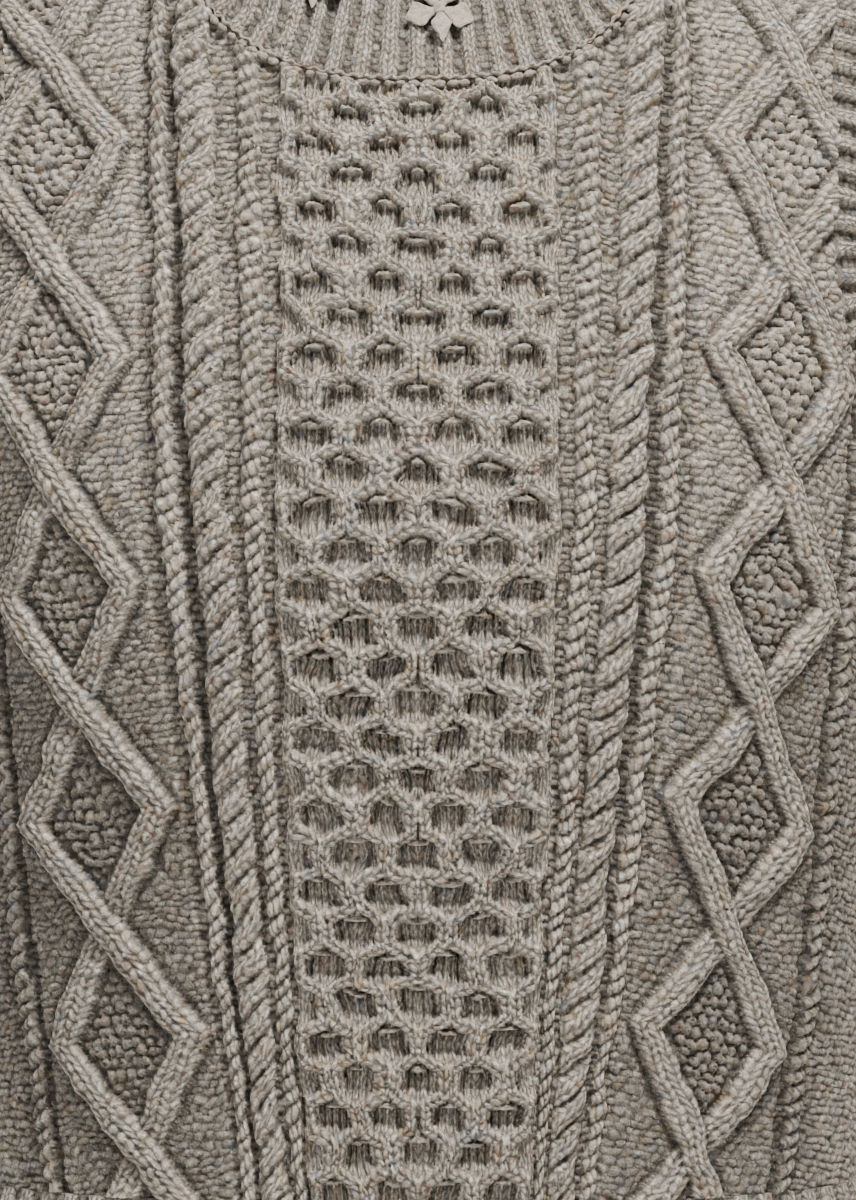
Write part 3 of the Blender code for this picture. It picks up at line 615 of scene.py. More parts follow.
# Cloth of a panel between the given lines of (hand, band, share), with rows of one height.
def panelPiece(name, panel, lines, step, bottom):
    hand = np.array([line[0] for line in lines], float)
    band = np.array([line[1] for line in lines])
    share = np.array([line[2] for line in lines], float)

    def arcAt(v):
        edge = panel.edges(v)
        n = np.arange(len(lines))
        low = edge[n, band]
        high = np.where(band < len(panel.bands), edge[n, np.minimum(band + 1, edge.shape[1] - 1)],
                        panel.sideArc(v))
        return hand * np.minimum(low + share * (high - low), panel.armholeArc(v))
    start = np.full(len(lines), 60.0)
    for _ in range(12):
        start = panel.top(arcAt(start))
    first = start.min()
    rows = np.arange(math.floor(first / step) * step, bottom, step)
    rows = np.append(rows[rows < bottom - 0.3 * step], bottom)
    v = np.maximum(rows[None, :], start[:, None])
    arc = np.stack([arcAt(v[:, j]) for j in range(len(rows))], axis=1)
    flatArc, flatV = arc.ravel(), v.ravel()
    base, normal = panel.place(flatArc, flatV)
    height, _, _, _, _, shade = knitting(panel, flatArc, flatV, flatArc, flatV)
    heights = height.reshape(arc.shape) * (0.15 + 0.85 * ease((v - start[:, None]) / 6.0))
    outer = (base + normal * (cloth["wall"] + heights.ravel())[:, None]).reshape(arc.shape + (3,))
    area = (np.abs(np.diff(arc, axis=0))[:, 1:] * np.diff(v, axis=1)[1:]).sum()
    cuts[name] = [np.ptp(arc), np.ptp(v), area]
    innerColumns, innerRows = coarse(len(lines), 6), coarse(len(rows), 8)
    inner = base.reshape(arc.shape + (3,))[np.ix_(innerColumns, innerRows)]
    # Painted shade: darker where the cloth lies below its neighbourhood, plus the painted shade from
    # knitting. The material darkens the colour by it.
    hollow = np.clip(0.75 * cavity(heights, max(2, round(3.6 / step))) + 0.8 * cavity(heights, 1)
                     + shade.reshape(arc.shape), 0.0, 1.15)
    quadArc, quadV = quads(arc), quads(v)
    midArc, midV = quadArc.mean(-1).ravel(), quadV.mean(-1).ravel()
    chosen = knitting(panel, midArc, midV, midArc, midV)[4]
    _, across, down, kind, _, _ = knitting(panel, quadArc.ravel(), quadV.ravel(), np.repeat(midArc, 4),
                                           np.repeat(midV, 4), np.repeat(chosen, 4))
    shape = quadArc.shape
    kind = np.repeat(kind.reshape(shape).max(-1)[..., None], 4, axis=-1)
    cornerUv = np.stack([across.reshape(shape), down.reshape(shape)], axis=-1)
    cornerForm = np.stack([kind, quads(hollow)], axis=-1)
    return shell(name, outer, (inner, innerColumns, innerRows), (cornerUv, cornerForm))


# Lines of stitches from one place in the bands to another, about fine millimetres apart.
def bandLines(panel, firstBand, firstShare, lastBand, lastShare, fine, hand):
    chest = [row[1] for row in panel.bands] + [60.0]
    lines = []
    for band in range(firstBand, lastBand + 1):
        low = firstShare if band == firstBand else 0.0
        high = lastShare if band == lastBand else 1.0
        count = max(1, round((high - low) * chest[band] / fine))
        lines += [(hand, band, low + (high - low) * k / count) for k in range(count)]
    return lines + [(hand, lastBand, lastShare)]


grid = {"middle": 0.85, "ropes": 0.9, "flank": 1.1, "side": 2.6, "row": 1.0, "back": 2.3, "backRow": 2.3}
clothPieces, cuts = {}, {}

half = bandLines(front, 0, 0.0, 4, 0.5, grid["middle"], 1)
lines = [(-1, band, share) for _, band, share in half[:0:-1]] + half
bottomFront = front.vAt(cloth["hemTop"]) - cloth["gap"]
clothPieces["honeycombPanel"] = panelPiece("honeycombPanel", front, lines, grid["row"], bottomFront)
for hand, name in ((1, "Left"), (-1, "Right")):
    lines = bandLines(front, 4, 0.5, 10, 0.5, grid["ropes"], hand)
    clothPieces["ropes" + name] = panelPiece("ropes" + name, front, lines[::hand], grid["row"], bottomFront)
    lines = bandLines(front, 10, 0.5, 13, 1.0, grid["flank"], hand)[:-1] \
        + bandLines(front, 14, 0.0, 14, 1.0, grid["side"], hand)
    clothPieces["diamonds" + name] = panelPiece("diamonds" + name, front, lines[::hand], grid["row"],
                                                bottomFront)
half = bandLines(back, 0, 0.0, len(backBands), 1.0, grid["back"], 1)
lines = [(-1, band, share) for _, band, share in half[:0:-1]] + half
bottomBack = back.vAt(cloth["hemTop"]) - cloth["gap"]
clothPieces["backPanel"] = panelPiece("backPanel", back, lines, grid["backRow"], bottomBack)


def wooliness(name, panel, count, bottom, seed):  # short bent fibres off the yarn, each a closed spike
    chance = np.random.default_rng(seed)
    arc, v = chance.uniform(-165, 165, count), chance.uniform(40, bottom - 4, count)
    keep = (v > panel.top(arc) + 5) & (np.abs(arc) < panel.armholeArc(v) - 4)
    arc, v = arc[keep], v[keep]
    count = len(arc)
    base, normal = panel.place(arc, v)
    start = base + normal * (cloth["wall"] + knitting(panel, arc, v, arc, v)[0] - 0.4)[:, None]
    side = unit(np.cross(normal, (0.0, 0.0, 1.0)))
    down = np.cross(side, normal)
    turn, bend = chance.uniform(0, 2 * math.pi, count), chance.uniform(-1.1, 1.1, count)
    lift = chance.uniform(0.15, 0.8, count)
    length = chance.uniform(1.2, 3.4, count)[:, None]
    headings = [unit(np.cos(turn + b)[:, None] * side + np.sin(turn + b)[:, None] * down
                     + (lift * rise)[:, None] * normal) for b, rise in ((0.0 * bend, 1.0), (bend, 0.2))]
    across = unit(np.cross(headings[0], normal))
    other = np.cross(headings[0], across)
    middle = start + headings[0] * length / 2
    tip = middle + headings[1] * length / 2
    rings = []
    for centre, radius in ((start, 0.10), (middle, 0.075)):
        for k in range(3):
            angle = 2 * math.pi * k / 3
            rings.append(centre + radius * (math.cos(angle) * across + math.sin(angle) * other))
    points = np.stack(rings + [tip], axis=1).reshape(-1, 3)
    pattern = [(0, 2, 1), (0, 1, 4), (0, 4, 3), (1, 2, 5), (1, 5, 4),
               (2, 0, 3), (2, 3, 5), (3, 4, 6), (4, 5, 6), (5, 3, 6)]
    faces = (np.array(pattern)[None] + 7 * np.arange(count)[:, None, None]).reshape(-1, 3).tolist()
    return meshPiece(name, points, faces)


fuzz = wooliness("woolFibres", front, 21000, bottomFront, 7)
print("panels knitted", len(fuzz.data.polygons), "triangles of fibre")


def weltPiece(name, panel):  # ribbed welt from seam to seam, rolled over at its lower edge
    top, bottom = panel.vAt(cloth["hemTop"]) + cloth["gap"], panel.vAt(cloth["hemEdge"])
    reach = float(np.interp(top, panel.rows, panel.reach))
    cuts[name] = [2 * reach, bottom - top, 2 * reach * (bottom - top)]
    count = 2 * round(reach / cloth["rib"])
    columns = 2 * count * 6 + 1
    share = np.linspace(-1.0, 1.0, columns)
    roll = 2.2
    straight = np.arange(top, bottom - roll, 1.3)
    turn = np.linspace(0.0, math.pi / 2, 6)
    v = np.concatenate([straight[:-1], bottom - roll + roll * np.sin(turn)])
    lift = np.concatenate([np.ones(len(straight) - 1), np.cos(turn)])
    arc = share[:, None] * panel.sideArc(v)[None, :]
    base, normal = panel.place(arc.ravel(), np.repeat(v[None, :], columns, axis=0).ravel())
    place = np.repeat((share * count)[:, None], len(v), axis=1)
    rib = np.mod(place, 2) - 1
    down = v[None, :] / rowHeight + 0.2 * noise(arc, 0 * arc + v[None, :], 6.0, 41)
    height = ribHeight(rib, down) + 0.35 * noise(arc, 0 * arc + v[None, :], 2.3, 42)
    fade = ease((v - top) / 5.0) * 0.55 + 0.45
    height = height * fade[None, :]
    half = cloth["wall"] / 2
    out = half + (half + height) * lift[None, :]
    outer = (base + normal * out.ravel()[:, None]).reshape(arc.shape + (3,))
    innerColumns, innerRows = coarse(columns, 6), coarse(len(v), 8)
    inner = base.reshape(arc.shape + (3,))[np.ix_(innerColumns, innerRows)]
    inner[:, -1] += (normal.reshape(arc.shape + (3,))[innerColumns, -1] * 0.8)
    corners = ribCorners(place, down, height)
    return shell(name, outer, (inner, innerColumns, innerRows), corners)


def ribHeight(rib, down):
    loops = loopHeight(rib / 1.24 + 0.5, down, 0.0 * rib)
    knitRib = (2.5 + 1.2 * loops) * hump(rib / 0.66, 0.6)
    return np.maximum(knitRib, -0.9 + 1.0 * brick(rib * 2, down))


def ribCorners(place, down, height):
    # Painted shade in the grooves between the ribs, and a little over all of it.
    hollow = np.clip(1.2 * cavity(height, 4) + 0.6 * cavity(height, 1) + 0.11, 0.0, 1.0)
    quadPlace, quadDown = quads(place), quads(down)
    rib = np.abs(np.mod(quadPlace.mean(-1), 2) - 1)
    kind = np.repeat(np.where(rib < 0.62, knit, purl)[..., None], 4, axis=-1)
    return (np.stack([quadPlace / 0.62 * 0.8 + 0.5, quadDown], axis=-1),
            np.stack([kind, quads(hollow)], axis=-1))


class Seam:  # closed seam line round an opening, and the band that grows from it

    def __init__(self, stretches, inward, heading):
        points = [panel.place(arc, v) for panel, arc, v in stretches]
        self.points = np.concatenate([p for p, _ in points])
        self.normals = np.concatenate([n for _, n in points])
        steps = np.linalg.norm(np.roll(self.points, -1, axis=0) - self.points, axis=1)
        keep = steps > 1e-4
        self.points, self.normals, steps = self.points[keep], self.normals[keep], steps[keep]
        self.measure = np.concatenate([[0.0], np.cumsum(steps)])
        self.length = float(self.measure[-1])
        self.inward = np.array(inward)
        self.heading = heading

    def take(self, table, s):
        closed = np.vstack([table, table[:1]])
        around = np.mod(s, self.length)
        return np.stack([np.interp(around, self.measure, closed[:, k]) for k in range(3)], axis=-1)

    def at(self, s):
        point, normal = self.take(self.points, s), unit(self.take(self.normals, s))
        grow = unit(np.cross(self.take(self.points, s + 9.0) - self.take(self.points, s - 9.0), normal))
        grow = np.where(dot(grow, self.inward - point) < 0, -grow, grow)
        return point, normal, grow

    # Inner face and outward direction of the band, for each s and each height in turn.
    def sheet(self, s, heights):
        point, normal, grow = self.at(s)
        path = point + 2 * cloth["gap"] * grow
        paths, faces = [], []
        reached = 0.0
        for height in heights:
            steps = max(1, math.ceil((height - reached) / 2.0))
            for k in range(steps):
                here = reached + (height - reached) * (k + 0.5) / steps
                path = path + self.heading(point, normal, grow, here) * (height - reached) / steps
            reached = height
            heading = self.heading(point, normal, grow, height)
            paths.append(path)
            faces.append(unit(normal - dot(normal, heading) * heading))
        return np.stack(paths, axis=1), np.stack(faces, axis=1)


neckband = {"height": 58.0, "bend": 14.0, "depth": 75.0, "rise": 0.9, "lean": (0.42, 0.45, 0.05)}
armholeBand = {"height": 22.0, "droop": 0.18}


def neckHeading(point, normal, grow, height):
    turn = np.arctan2(point[:, 0] / cloth["neckHalf"], -point[:, 1] / neckband["depth"])
    sideways, ahead, behind = neckband["lean"]
    forward = np.cos(turn)
    lean = ahead * np.maximum(forward, 0) - behind * np.maximum(-forward, 0)
    rising = unit(np.stack([-sideways * np.sin(turn), lean, np.full_like(turn, neckband["rise"])], axis=-1))
    blend = ease(height / neckband["bend"])
    return unit((1 - blend) * grow + blend * rising)


def armholeHeading(point, normal, grow, height):
    return unit(grow - armholeBand["droop"] * ease(height / armholeBand["height"]) * normal)


def neckLine(panel, way):
    turn = np.linspace(-math.pi / 2, math.pi / 2, 241)[::way]
    arc = cloth["neckHalf"] * np.sign(np.sin(turn)) * np.abs(np.sin(turn)) ** (2 / cloth["neckRound"])
    rise = np.abs(np.cos(turn)) ** (2 / cloth["neckRound"])
    return panel, arc, shoulderDrop(arc) + panel.neckDepth * rise


def armholeLine(panel, hand, way):
    start = float(panel.top(np.array([cloth["shoulderTip"]]))[0])
    straight = np.linspace(start, cloth["armholeStraight"], 40)
    turn = np.linspace(0.0, math.pi / 2, 61)[1:]
    v = np.concatenate([straight, cloth["armholeStraight"]
                        + (panel.underarm - cloth["armholeStraight"]) * np.sin(turn)])
    arc = np.concatenate([np.full(40, cloth["shoulderTip"]), cloth["shoulderTip"]
                          + (panel.underarmArc - cloth["gap"] - cloth["shoulderTip"]) * (1 - np.cos(turn))])
    return panel, hand * arc[::way], v[::way]


neckSeam = Seam((neckLine(front, -1), neckLine(back, 1)), (0.0, 0.0, 30.0), neckHeading)
nearest = np.argmin(np.abs(neckSeam.points[:, 0]) + 500 * (neckSeam.points[:, 1] > 0))
neckMiddle = float(neckSeam.measure[nearest])
armholeSeams = {
    hand: Seam((armholeLine(front, hand, 1), armholeLine(back, hand, -1)), (hand * 400.0, 0.0, -140.0),
               armholeHeading)
    for hand in (1, -1)
}


def bandPiece(name, seam, total, fine):
    ribs = round(seam.length / cloth["rib"])
    cuts[name] = [seam.length, total, seam.length * total]
    columns = ribs * 12 + 1
    s = np.linspace(0.0, seam.length, columns)
    roll = 2.2
    straight = np.arange(0.0, total - roll, fine)
    turn = np.linspace(0.0, math.pi / 2, 6)
    heights = np.concatenate([straight[:-1], total - roll + roll * np.sin(turn)])
    lift = np.concatenate([np.ones(len(straight) - 1), np.cos(turn)])
    base, out = seam.sheet(s, heights)
    base[-1], out[-1] = base[0], out[0]
    place = np.repeat((s / seam.length * 2 * ribs)[:, None], len(heights), axis=1)
    rows = 0 * place + heights[None, :]
    wander = 0.16 * noise(place, rows / 5.0, 1.3, 43) * np.sin(math.pi * np.linspace(0, 1, columns))[:, None]
    place = place + wander
    down = -rows / rowHeight + 0.2 * noise(place, rows / 5.0, 1.1, 44)
    height = ribHeight(np.mod(place, 2) - 1, down) + 0.4 * noise(place * 2.2, rows / 2.4, 1.0, 45)
    height[-1] = height[0]
    half = cloth["wall"] / 2
    outer = base + out * (half + (half + height) * lift[None, :])[..., None]
    innerColumns, innerRows = coarse(columns, 6), coarse(len(heights), 6)
    inner = base[np.ix_(innerColumns, innerRows)]
    inner[:, -1] += out[innerColumns, -1] * 0.8
    return shell(name, outer, (inner, innerColumns, innerRows), ribCorners(place, down, height), True)


clothPieces["weltFront"] = weltPiece("weltFront", front)
clothPieces["weltBack"] = weltPiece("weltBack", back)
clothPieces["neckbandRibs"] = bandPiece("neckbandRibs", neckSeam, neckband["height"], 1.3)
for hand, name in ((1, "armholeLeft"), (-1, "armholeRight")):
    clothPieces[name] = bandPiece(name, armholeSeams[hand], armholeBand["height"], 1.5)


def bandPoints(seam, s, height, out):  # points at places round a band, up it and out from its inner face
    around, up = np.linspace(s.min() - 1, s.max() + 1, 90), np.linspace(0.0, neckband["height"], 40)
    base, face = seam.sheet(around, up)
    i = (s - around[0]) / (around[1] - around[0])
    j = np.clip((height - up[0]) / (up[1] - up[0]), 0, len(up) - 1.001)
    i0, j0 = i.astype(int), j.astype(int)
    fi, fj = (i - i0)[:, None], (j - j0)[:, None]

    def blend(table):
        return ((1 - fi) * (1 - fj) * table[i0, j0] + fi * (1 - fj) * table[i0 + 1, j0]
                + (1 - fi) * fj * table[i0, j0 + 1] + fi * fj * table[i0 + 1, j0 + 1])
    return blend(base) + out[:, None] * unit(blend(face))


flower = {
    "places": (("flowerMiddle", "flower_middle", 10.0, 31.0), ("flowerSide", "flower_side", -52.0, 41.0)),
    "turn": 0.94,
    "petal": 17.5,
    "wide": 5.2,
    "thick": 3.4,
}


def flowerPiece(name, place, height, seed):  # five felted petals that taper, round a small knot
    vertices, faces = [], []
    for petal in range(6):
        bpy.ops.mesh.primitive_uv_sphere_add(segments=24, ring_count=18, radius=1.0)
        ball = bpy.context.object
        shape = np.array([v.co[:] for v in ball.data.vertices])
        first = len(vertices)
        faces += [[first + k for k in face.vertices] for face in ball.data.polygons]
        mesh = ball.data
        bpy.data.objects.remove(ball)
        bpy.data.meshes.remove(mesh)
        if petal == 5:
            x, y, lift = shape[:, 0] * 2.9, shape[:, 1] * 2.9, 2.4 + shape[:, 2] * 1.6
        else:
            chance = [math.sin(seed * 7.1 + petal * 3.3 + k) for k in range(3)]
            angle = flower["turn"] + 2 * math.pi * petal / 5 + 0.08 * chance[0]
            reach = flower["petal"] * (0.96 + 0.06 * chance[1])
            along = (shape[:, 2] + 1) / 2
            taper = np.sin(math.pi * np.clip(along, 0, 1) ** 0.8) ** 0.55
            ring = np.hypot(shape[:, 0], shape[:, 1])
            sideways = shape[:, 0] / np.maximum(ring, 1e-6) * taper
            body = shape[:, 1] / np.maximum(ring, 1e-6) * taper
            r = 1.0 + along * (reach - 1.0)
            downward = math.sin(angle) < -0.9
            lobe = np.exp(-((along - (0.42 if downward else 0.66)) / (0.2 if downward else 0.3)) ** 2)
            w = sideways * flower["wide"] * ((0.46 + 0.5 * lobe) if downward else (0.4 + 0.95 * lobe))
            lift = (1.5 + body * flower["thick"] / 2 * (1 - 0.3 * along) + 0.8 * (w / flower["wide"]) ** 2
                    + 1.6 * along * (0.4 + 0.6 * chance[2]))
            x = r * math.cos(angle) - w * math.sin(angle)
            y = r * math.sin(angle) + w * math.cos(angle)
        lift = lift + 0.45 * noise(x, y, 2.6, seed) + 0.3 * noise(x, y, 1.3, seed + 1)
        x, y = x + 0.4 * noise(x, y, 2.2, seed + 2), y + 0.4 * noise(x, y, 2.2, seed + 3)
        out = cloth["wall"] + 2.6 + np.maximum(lift, 0.0)
        vertices += list(bandPoints(neckSeam, neckMiddle - place + x, height + y, out))
    return meshPiece(name, vertices, faces)


flowers = {}
for name, node, place, height in flower["places"]:
    flowers[name] = (flowerPiece(name, place, height, place), node)

seamTrim = {"pitch": 5.2, "yarn": 0.8, "wave": 0.55, "drop": 2.3, "bump": (2.3, 1.6, 1.5)}


def seamBumps():  # row of purl bumps under the neck seam
    bpy.ops.mesh.primitive_uv_sphere_add(segments=12, ring_count=8, radius=1.0)
    ball = bpy.context.object
    shape = np.array([v.co[:] for v in ball.data.vertices])
    rings = [list(face.vertices) for face in ball.data.polygons]
    mesh = ball.data
    bpy.data.objects.remove(ball)
    bpy.data.meshes.remove(mesh)
    count = round(neckSeam.length / seamTrim["pitch"])
    s = (np.arange(count) + 0.5) * neckSeam.length / count
    s = s + 0.7 * noise(s, 0 * s, 5.0, 31)
    point, normal, grow = neckSeam.at(s)
    along = np.cross(normal, grow)
    vertices, faces = [], []
    for k in range(count):
        size = [axis * (1 + 0.14 * math.sin(k * 5.3 + n)) for n, axis in enumerate(seamTrim["bump"])]
        centre = point[k] - grow[k] * seamTrim["drop"] + normal[k] * (cloth["wall"] + 1.7)
        first = len(vertices)
        rough = 1 + 0.22 * noise(shape[:, :1] * 2 + k, shape[:, 1:2] * 2 + shape[:, 2:], 1.0, 35)
        offset = shape[:, :1] * size[0] * along[k] + shape[:, 1:2] * size[1] * grow[k]
        vertices += list(centre + rough * (offset + shape[:, 2:] * size[2] * normal[k]))
        faces += [[first + i for i in ring] for ring in rings]
    return meshPiece("seamBumps", vertices, faces)


def seamYarn():  # thin yarn that waves along the neck seam, as a closed tube
    count = round(neckSeam.length / 1.0)
    sides = 8
    s = np.arange(count) * neckSeam.length / count
    point, normal, grow = neckSeam.at(s)
    wave = np.sin(2 * math.pi * s / neckSeam.length * round(neckSeam.length / seamTrim["pitch"]))
    middle = point + normal * (cloth["wall"] + 2.3 + 0.4 * noise(s, 0 * s, 3.1, 34))[:, None] \
        + grow * (seamTrim["wave"] * wave + 0.1 + 0.3 * noise(s, 0 * s, 2.7, 36))[:, None]
    turn = 2 * math.pi * np.arange(sides) / sides
    radius = seamTrim["yarn"] * (1 + 0.3 * noise(s, 0 * s, 2.4, 33))
    tube = middle[:, None] + radius[:, None, None] * (np.cos(turn)[None, :, None] * normal[:, None]
                                                      + np.sin(turn)[None, :, None] * grow[:, None])
    faces = [[i * sides + j, i * sides + (j + 1) % sides, (i + 1) % count * sides + (j + 1) % sides,
              (i + 1) % count * sides + j] for i in range(count) for j in range(sides)]
    return meshPiece("seamYarn", tube.reshape(-1, 3), faces)


def faceOutward(piece):
    work = bmesh.new()
    work.from_mesh(piece.data)
    bmesh.ops.recalc_face_normals(work, faces=work.faces)
    work.to_mesh(piece.data)
    work.free()


trims = {"seamBumps": seamBumps(), "seamYarn": seamYarn(), "woolFibres": fuzz}
for piece in list(trims.values()) + [piece for piece, _ in flowers.values()]:
    faceOutward(piece)
print("bands and trims made")


class Wire:  # a shader socket that can be added, multiplied and compared

    def __init__(self, tree, socket):
        self.tree, self.socket = tree, socket

    def math(self, operation, *others):
        node = self.tree.nodes.new("ShaderNodeMath")
        node.operation = operation
        for socket, value in zip(node.inputs, (self,) + others):
            plug(self.tree, value, socket)
        return Wire(self.tree, node.outputs[0])

    def __add__(self, other):
        return self.math("ADD", other)

    def __sub__(self, other):
        return self.math("SUBTRACT", other)

    def __rsub__(self, other):
        return self.math("MULTIPLY_ADD", -1.0, other)

    def __mul__(self, other):
        return self.math("MULTIPLY", other)

    def __truediv__(self, other):
        return self.math("DIVIDE", other)

    __radd__ = __add__
    __rmul__ = __mul__

    def over(self, limit):
        return self.math("GREATER_THAN", limit)

    def under(self, limit):
        return self.math("LESS_THAN", limit)

    def clamped(self):
        self.socket.node.use_clamp = True
        return self

    def between(self, low, high):
        return ((self - low) / (high - low)).clamped()


def plug(tree, value, socket):
    if isinstance(value, Wire):
        tree.links.new(value.socket, socket)
    elif value is not None:
        socket.default_value = value


def make(tree, kind, inputs, output=0, **settings):
    node = tree.nodes.new("ShaderNode" + kind)
    for key, value in settings.items():
        setattr(node, key, value)
    for key, value in inputs.items():
        plug(tree, value, node.inputs[key])
    return Wire(tree, node.outputs[output])


def mixColour(tree, factor, first, second):
    node = tree.nodes.new("ShaderNodeMix")
    node.data_type = "RGBA"
    plug(tree, factor, node.inputs["Factor"])
    for value, socket in ((first, node.inputs[6]), (second, node.inputs[7])):
        plug(tree, value if isinstance(value, Wire) else tuple(value) + (1.0,), socket)
    return Wire(tree, node.outputs[2])


wool = {
    "base": (0.365, 0.322, 0.268),
    "light": (0.74, 0.69, 0.60),
    "dark": (0.135, 0.110, 0.088),
    "black": (0.030, 0.026, 0.024),
    "pale": (0.80, 0.77, 0.70),
    "rust": (0.30, 0.17, 0.11),
    "blue": (0.24, 0.26, 0.29),
    "ochre": (0.42, 0.31, 0.17),
}


# Random cells for bits of coloured fibre: how near their middle, and three random numbers.
def flecks(tree, place, scale, seed):
    moved = make(tree, "VectorMath", {0: place, 1: (seed, seed * 1.7, seed * 2.3)}, operation="ADD")
    cells = make(tree, "TexVoronoi", {"Vector": moved, "Scale": scale}, "Distance", feature="F1")
    colour = Wire(tree, cells.socket.node.outputs["Color"])
    parts = make(tree, "SeparateColor", {"Color": colour}).socket.node
    return cells, [Wire(tree, output) for output in parts.outputs]


def stitchHeight(across, down, kind):  # height of the yarn, from 0 in the gaps to 1 on the loops
    fold = (across.math("FRACT") - 0.5).math("ABSOLUTE") * 2.0
    leg = (down + fold * 0.7).math("FRACT") * 2.0 - 1.0
    side = fold * 2.0 - 1.0
    knitLoop = (1.0 - side * side * 0.95 - leg * leg * 0.85).clamped().math("POWER", 0.7)
    row = down.math("FLOOR")
    moved = across + row.math("MODULO", 2.0).math("ABSOLUTE") * 0.5
    column = moved.math("FLOOR")

    def chanceOf(seed):
        share = (column * 0.7548777 + row * 0.5698403 + seed * 0.37).math("FRACT")
        return (share * share * 41.0).math("FRACT")
    fx = moved - column - 0.38 - chanceOf(1.0) * 0.24
    fy = down - row - 0.3 - chanceOf(2.0) * 0.4 + fx * 0.25
    purlLoop = (1.0 - fx * fx * 2.9 - fy * fy * 3.6).clamped().math("POWER", 0.5)
    purlLoop = purlLoop * (chanceOf(3.0) * 0.4 + 0.8)
    isPurl, isMoss = kind.over(0.5) * kind.under(1.5), kind.over(1.5) * kind.under(2.5)
    return knitLoop * (1.0 - isPurl - isMoss) + purlLoop * isPurl + isMoss * 0.8


def knitMaterial(name):
    material = bpy.data.materials.new(name)
    material.use_nodes = True
    tree = material.node_tree
    shader = tree.nodes["Principled BSDF"]
    place = make(tree, "TexCoord", {}, "Object")
    stitch = make(tree, "UVMap", {}, 0, uv_map="stitch")
    form = make(tree, "UVMap", {}, 0, uv_map="form")
    split = make(tree, "SeparateXYZ", {0: stitch}).socket.node
    across, down = Wire(tree, split.outputs[0]), Wire(tree, split.outputs[1])
    split = make(tree, "SeparateXYZ", {0: form}).socket.node
    kind, hollow = Wire(tree, split.outputs[0]), Wire(tree, split.outputs[1])

    loop = stitchHeight(across, down, kind)
    cell = make(tree, "CombineXYZ", {0: (across * 2.0).math("FLOOR"), 1: down.math("FLOOR"), 2: kind})
    chance = make(tree, "TexWhiteNoise", {"Vector": cell}, 0)
    streaks = make(tree, "CombineXYZ", {0: across * 7.0, 1: down * 2.2, 2: kind})
    streak = make(tree, "TexNoise", {"Vector": streaks, "Scale": 1.0, "Detail": 1.0, "Roughness": 0.6}, 0)
    fibre = make(tree, "TexNoise", {"Vector": place, "Scale": 1300.0, "Detail": 2.0, "Roughness": 0.75}, 0)
    fuzz = make(tree, "TexNoise", {"Vector": place, "Scale": 430.0, "Detail": 2.0, "Roughness": 0.65}, 0)
    heather = streak * 0.3 + fibre * 0.35 + fuzz * 0.35

    colour = mixColour(tree, heather.between(0.488, 0.648), wool["base"], wool["light"])
    colour = mixColour(tree, 1.0 - heather.between(0.328, 0.475), colour, wool["dark"])
    for scale, shift, key in ((150.0, 3.1, "rust"), (130.0, 7.7, "blue"), (140.0, 12.3, "ochre")):
        moved = make(tree, "VectorMath", {0: place, 1: (shift, shift, shift)}, operation="ADD")
        cloud = make(tree, "TexNoise", {"Vector": moved, "Scale": scale, "Detail": 2.0, "Roughness": 0.6}, 0)
        colour = mixColour(tree, cloud.between(0.58, 0.73) * 0.6, colour, wool[key])
    drift = make(tree, "TexNoise", {"Vector": place, "Scale": 700.0, "Detail": 0.0}, 1)
    warped = mixVector(tree, place, drift, 0.0022)
    near, numbers = flecks(tree, warped, 430.0, 0.3)
    for channel, share, key in ((0, 0.048, "black"), (1, 0.03, "rust"), (2, 0.048, "pale")):
        mask = numbers[channel].under(share) * (1.0 - near.between(0.2, 0.6))
        colour = mixColour(tree, mask * 0.8, colour, wool[key])
    # Painted shade: the colour darkens in the recesses (hollow) and in the gaps between loops (loop). Chance
    # gives each stitch a random tone of its own.
    dark = (1.0 - hollow * 0.68) * (loop * 0.55 + 0.45) * (chance * 0.4 + 0.94)
    shade = make(tree, "VectorMath", {0: colour, "Scale": dark}, operation="SCALE")
    plug(tree, shade, shader.inputs["Base Color"])

    height = loop * 0.6 + fuzz * 0.6 + fibre * 0.4 + streak * 0.31
    bump = make(tree, "Bump", {"Strength": 1.0, "Distance": 0.0011, "Height": height})
    plug(tree, bump, shader.inputs["Normal"])
    shader.inputs["Roughness"].default_value = 0.95
    shader.inputs["Specular IOR Level"].default_value = 0.15
    return material


def mixVector(tree, first, second, share):
    node = tree.nodes.new("ShaderNodeMix")
    node.data_type = "VECTOR"
    node.inputs[0].default_value = share
    tree.links.new(first.socket, node.inputs[4])
    tree.links.new(second.socket, node.inputs[5])
    return Wire(tree, node.outputs[1])


def creamMaterial():
    material = bpy.data.materials.new("creamWool")
    material.use_nodes = True
    tree = material.node_tree
    shader = tree.nodes["Principled BSDF"]
    place = make(tree, "TexCoord", {}, "Object")
    fibre = make(tree, "TexNoise", {"Vector": place, "Scale": 1500.0, "Detail": 5.0, "Roughness": 0.7}, 0)
    fuzz = make(tree, "TexNoise", {"Vector": place, "Scale": 450.0, "Detail": 3.0}, 0)
    colour = mixColour(tree, fibre.between(0.4, 0.65), (0.36, 0.31, 0.245), (0.62, 0.56, 0.46))
    colour = mixColour(tree, (1.0 - fuzz.between(0.35, 0.5)) * 0.6, colour, (0.25, 0.20, 0.15))
    plug(tree, colour, shader.inputs["Base Color"])
    bump = make(tree, "Bump", {"Strength": 1.0, "Distance": 0.0009, "Height": fibre * 0.7 + fuzz})
    plug(tree, bump, shader.inputs["Normal"])
    shader.inputs["Roughness"].default_value = 0.9
    shader.inputs["Specular IOR Level"].default_value = 0.15
    shader.inputs["Sheen Weight"].default_value = 0.35
    return material


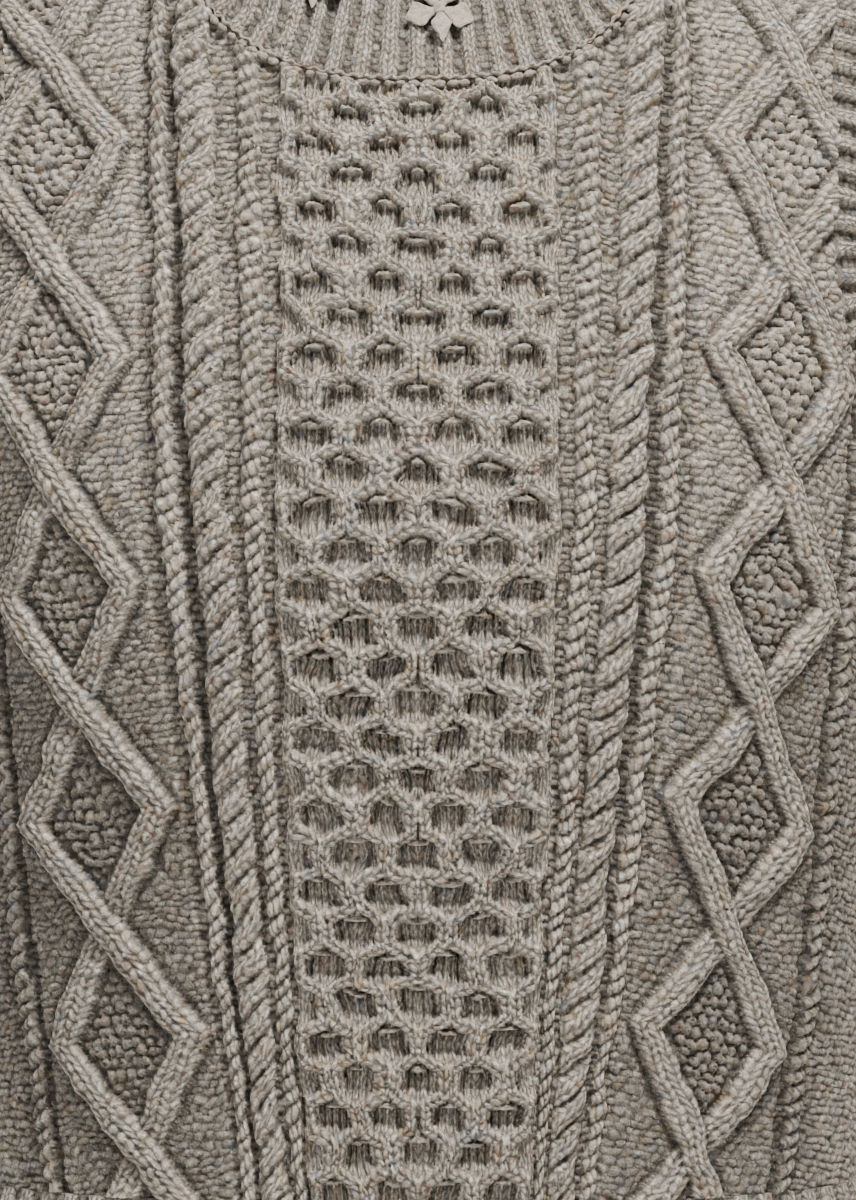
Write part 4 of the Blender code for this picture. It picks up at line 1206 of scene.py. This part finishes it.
tweed = knitMaterial("tweedKnit")
cream = creamMaterial()
for piece, node in flowers.values():
    piece.data.materials.append(cream)
    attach(piece, "root")
    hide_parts(node)
for piece in trims.values():
    piece.data.materials.append(tweed)
    # Trims get even stitch places and an even painted shade of 0.3.
    for name in ("stitch", "form"):
        layer = piece.data.uv_layers.new(name=name)
        value = [0.25, 0.1] if name == "stitch" else [single, 0.3]
        layer.data.foreach_set("uv", value * len(layer.data))
    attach(piece, "root")
    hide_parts("front" if piece is fuzz else "neckband")
slots = {
    "honeycombPanel": ("panel_wool", ("front",)),
    "ropesLeft": ("panel_wool", ("front",)),
    "ropesRight": ("panel_wool", ("front",)),
    "diamondsLeft": ("panel_wool", ("front",)),
    "diamondsRight": ("panel_wool", ("front",)),
    "backPanel": ("panel_wool", ("back",)),
    "weltFront": ("welt_wool", ("hem_rib_front",)),
    "weltBack": ("welt_wool", ("hem_rib_back",)),
    "neckbandRibs": ("neckband_wool", ("neckband",)),
    "armholeLeft": ("armhole_wool", ("armhole_band_left",)),
    "armholeRight": ("armhole_wool", ("armhole_band_right",)),
}
for name, (slotName, nodes) in slots.items():
    piece = clothPieces[name]
    piece.data.materials.append(tweed)
    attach(piece, "root")
    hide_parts(*nodes)
    width, length, area = [round(size * mm, 4) for size in cuts[name][:2]] + [cuts[name][2] * mm * mm]
    print(name, width, length, round(area, 4))
print("wool dyed")

floor = {"level": cadBox[0][2] - 0.002, "size": 6.0}
bpy.ops.mesh.primitive_plane_add(size=floor["size"], location=(0, 0, 0))
ground = bpy.context.object
ground.name = "floor"
for vertex in ground.data.vertices:
    vertex.co.z = floor["level"]
pale = bpy.data.materials.new("paleFloor")
pale.use_nodes = True
pale.node_tree.nodes["Principled BSDF"].inputs["Base Color"].default_value = (0.8, 0.8, 0.79, 1.0)
pale.node_tree.nodes["Principled BSDF"].inputs["Roughness"].default_value = 0.7
ground.data.materials.append(pale)

world = bpy.data.worlds.new("studio")
world.use_nodes = True
world.node_tree.nodes["Background"].inputs["Color"].default_value = (0.95, 0.97, 1.0, 1.0)
world.node_tree.nodes["Background"].inputs["Strength"].default_value = 0.17
bpy.context.scene.world = world


def softLight(name, place, target, size, power, colour):
    lamp = bpy.data.lights.new(name, "AREA")
    lamp.shape, lamp.size, lamp.energy, lamp.color = "DISK", size, power, colour
    item = bpy.data.objects.new(name, lamp)
    item.location = place
    heading = mathutils.Vector(target) - mathutils.Vector(place)
    item.rotation_euler = heading.to_track_quat("-Z", "Y").to_euler()
    bpy.context.scene.collection.objects.link(item)


softLight("keyLight", (0.4, -1.0, 1.5), (0.0, -0.1, -0.22), 0.6, 88.0, (1.0, 0.98, 0.95))
softLight("fillLight", (-1.3, -1.6, 0.4), (0.0, -0.1, -0.3), 1.4, 8.0, (0.97, 0.98, 1.0))
softLight("backLight", (0.3, 1.8, 1.4), (0.0, 0.1, -0.25), 1.2, 30.0, (1.0, 1.0, 1.0))

view = {"lens": 135.0, "height": 0.480, "centre": (0.004, -0.100, -0.289)}
lens = bpy.data.cameras.new("camera")
lens.lens, lens.sensor_fit, lens.sensor_height = view["lens"], "VERTICAL", 36.0
camera = bpy.data.objects.new("camera", lens)
distance = view["height"] / 2 / math.tan(math.atan(18.0 / view["lens"]))
camera.location = (view["centre"][0], view["centre"][1] - distance, view["centre"][2])
camera.rotation_euler = (math.pi / 2, 0.0, 0.0)
bpy.context.scene.collection.objects.link(camera)
bpy.context.scene.camera = camera
lens.clip_start, lens.clip_end = 0.05, 20.0
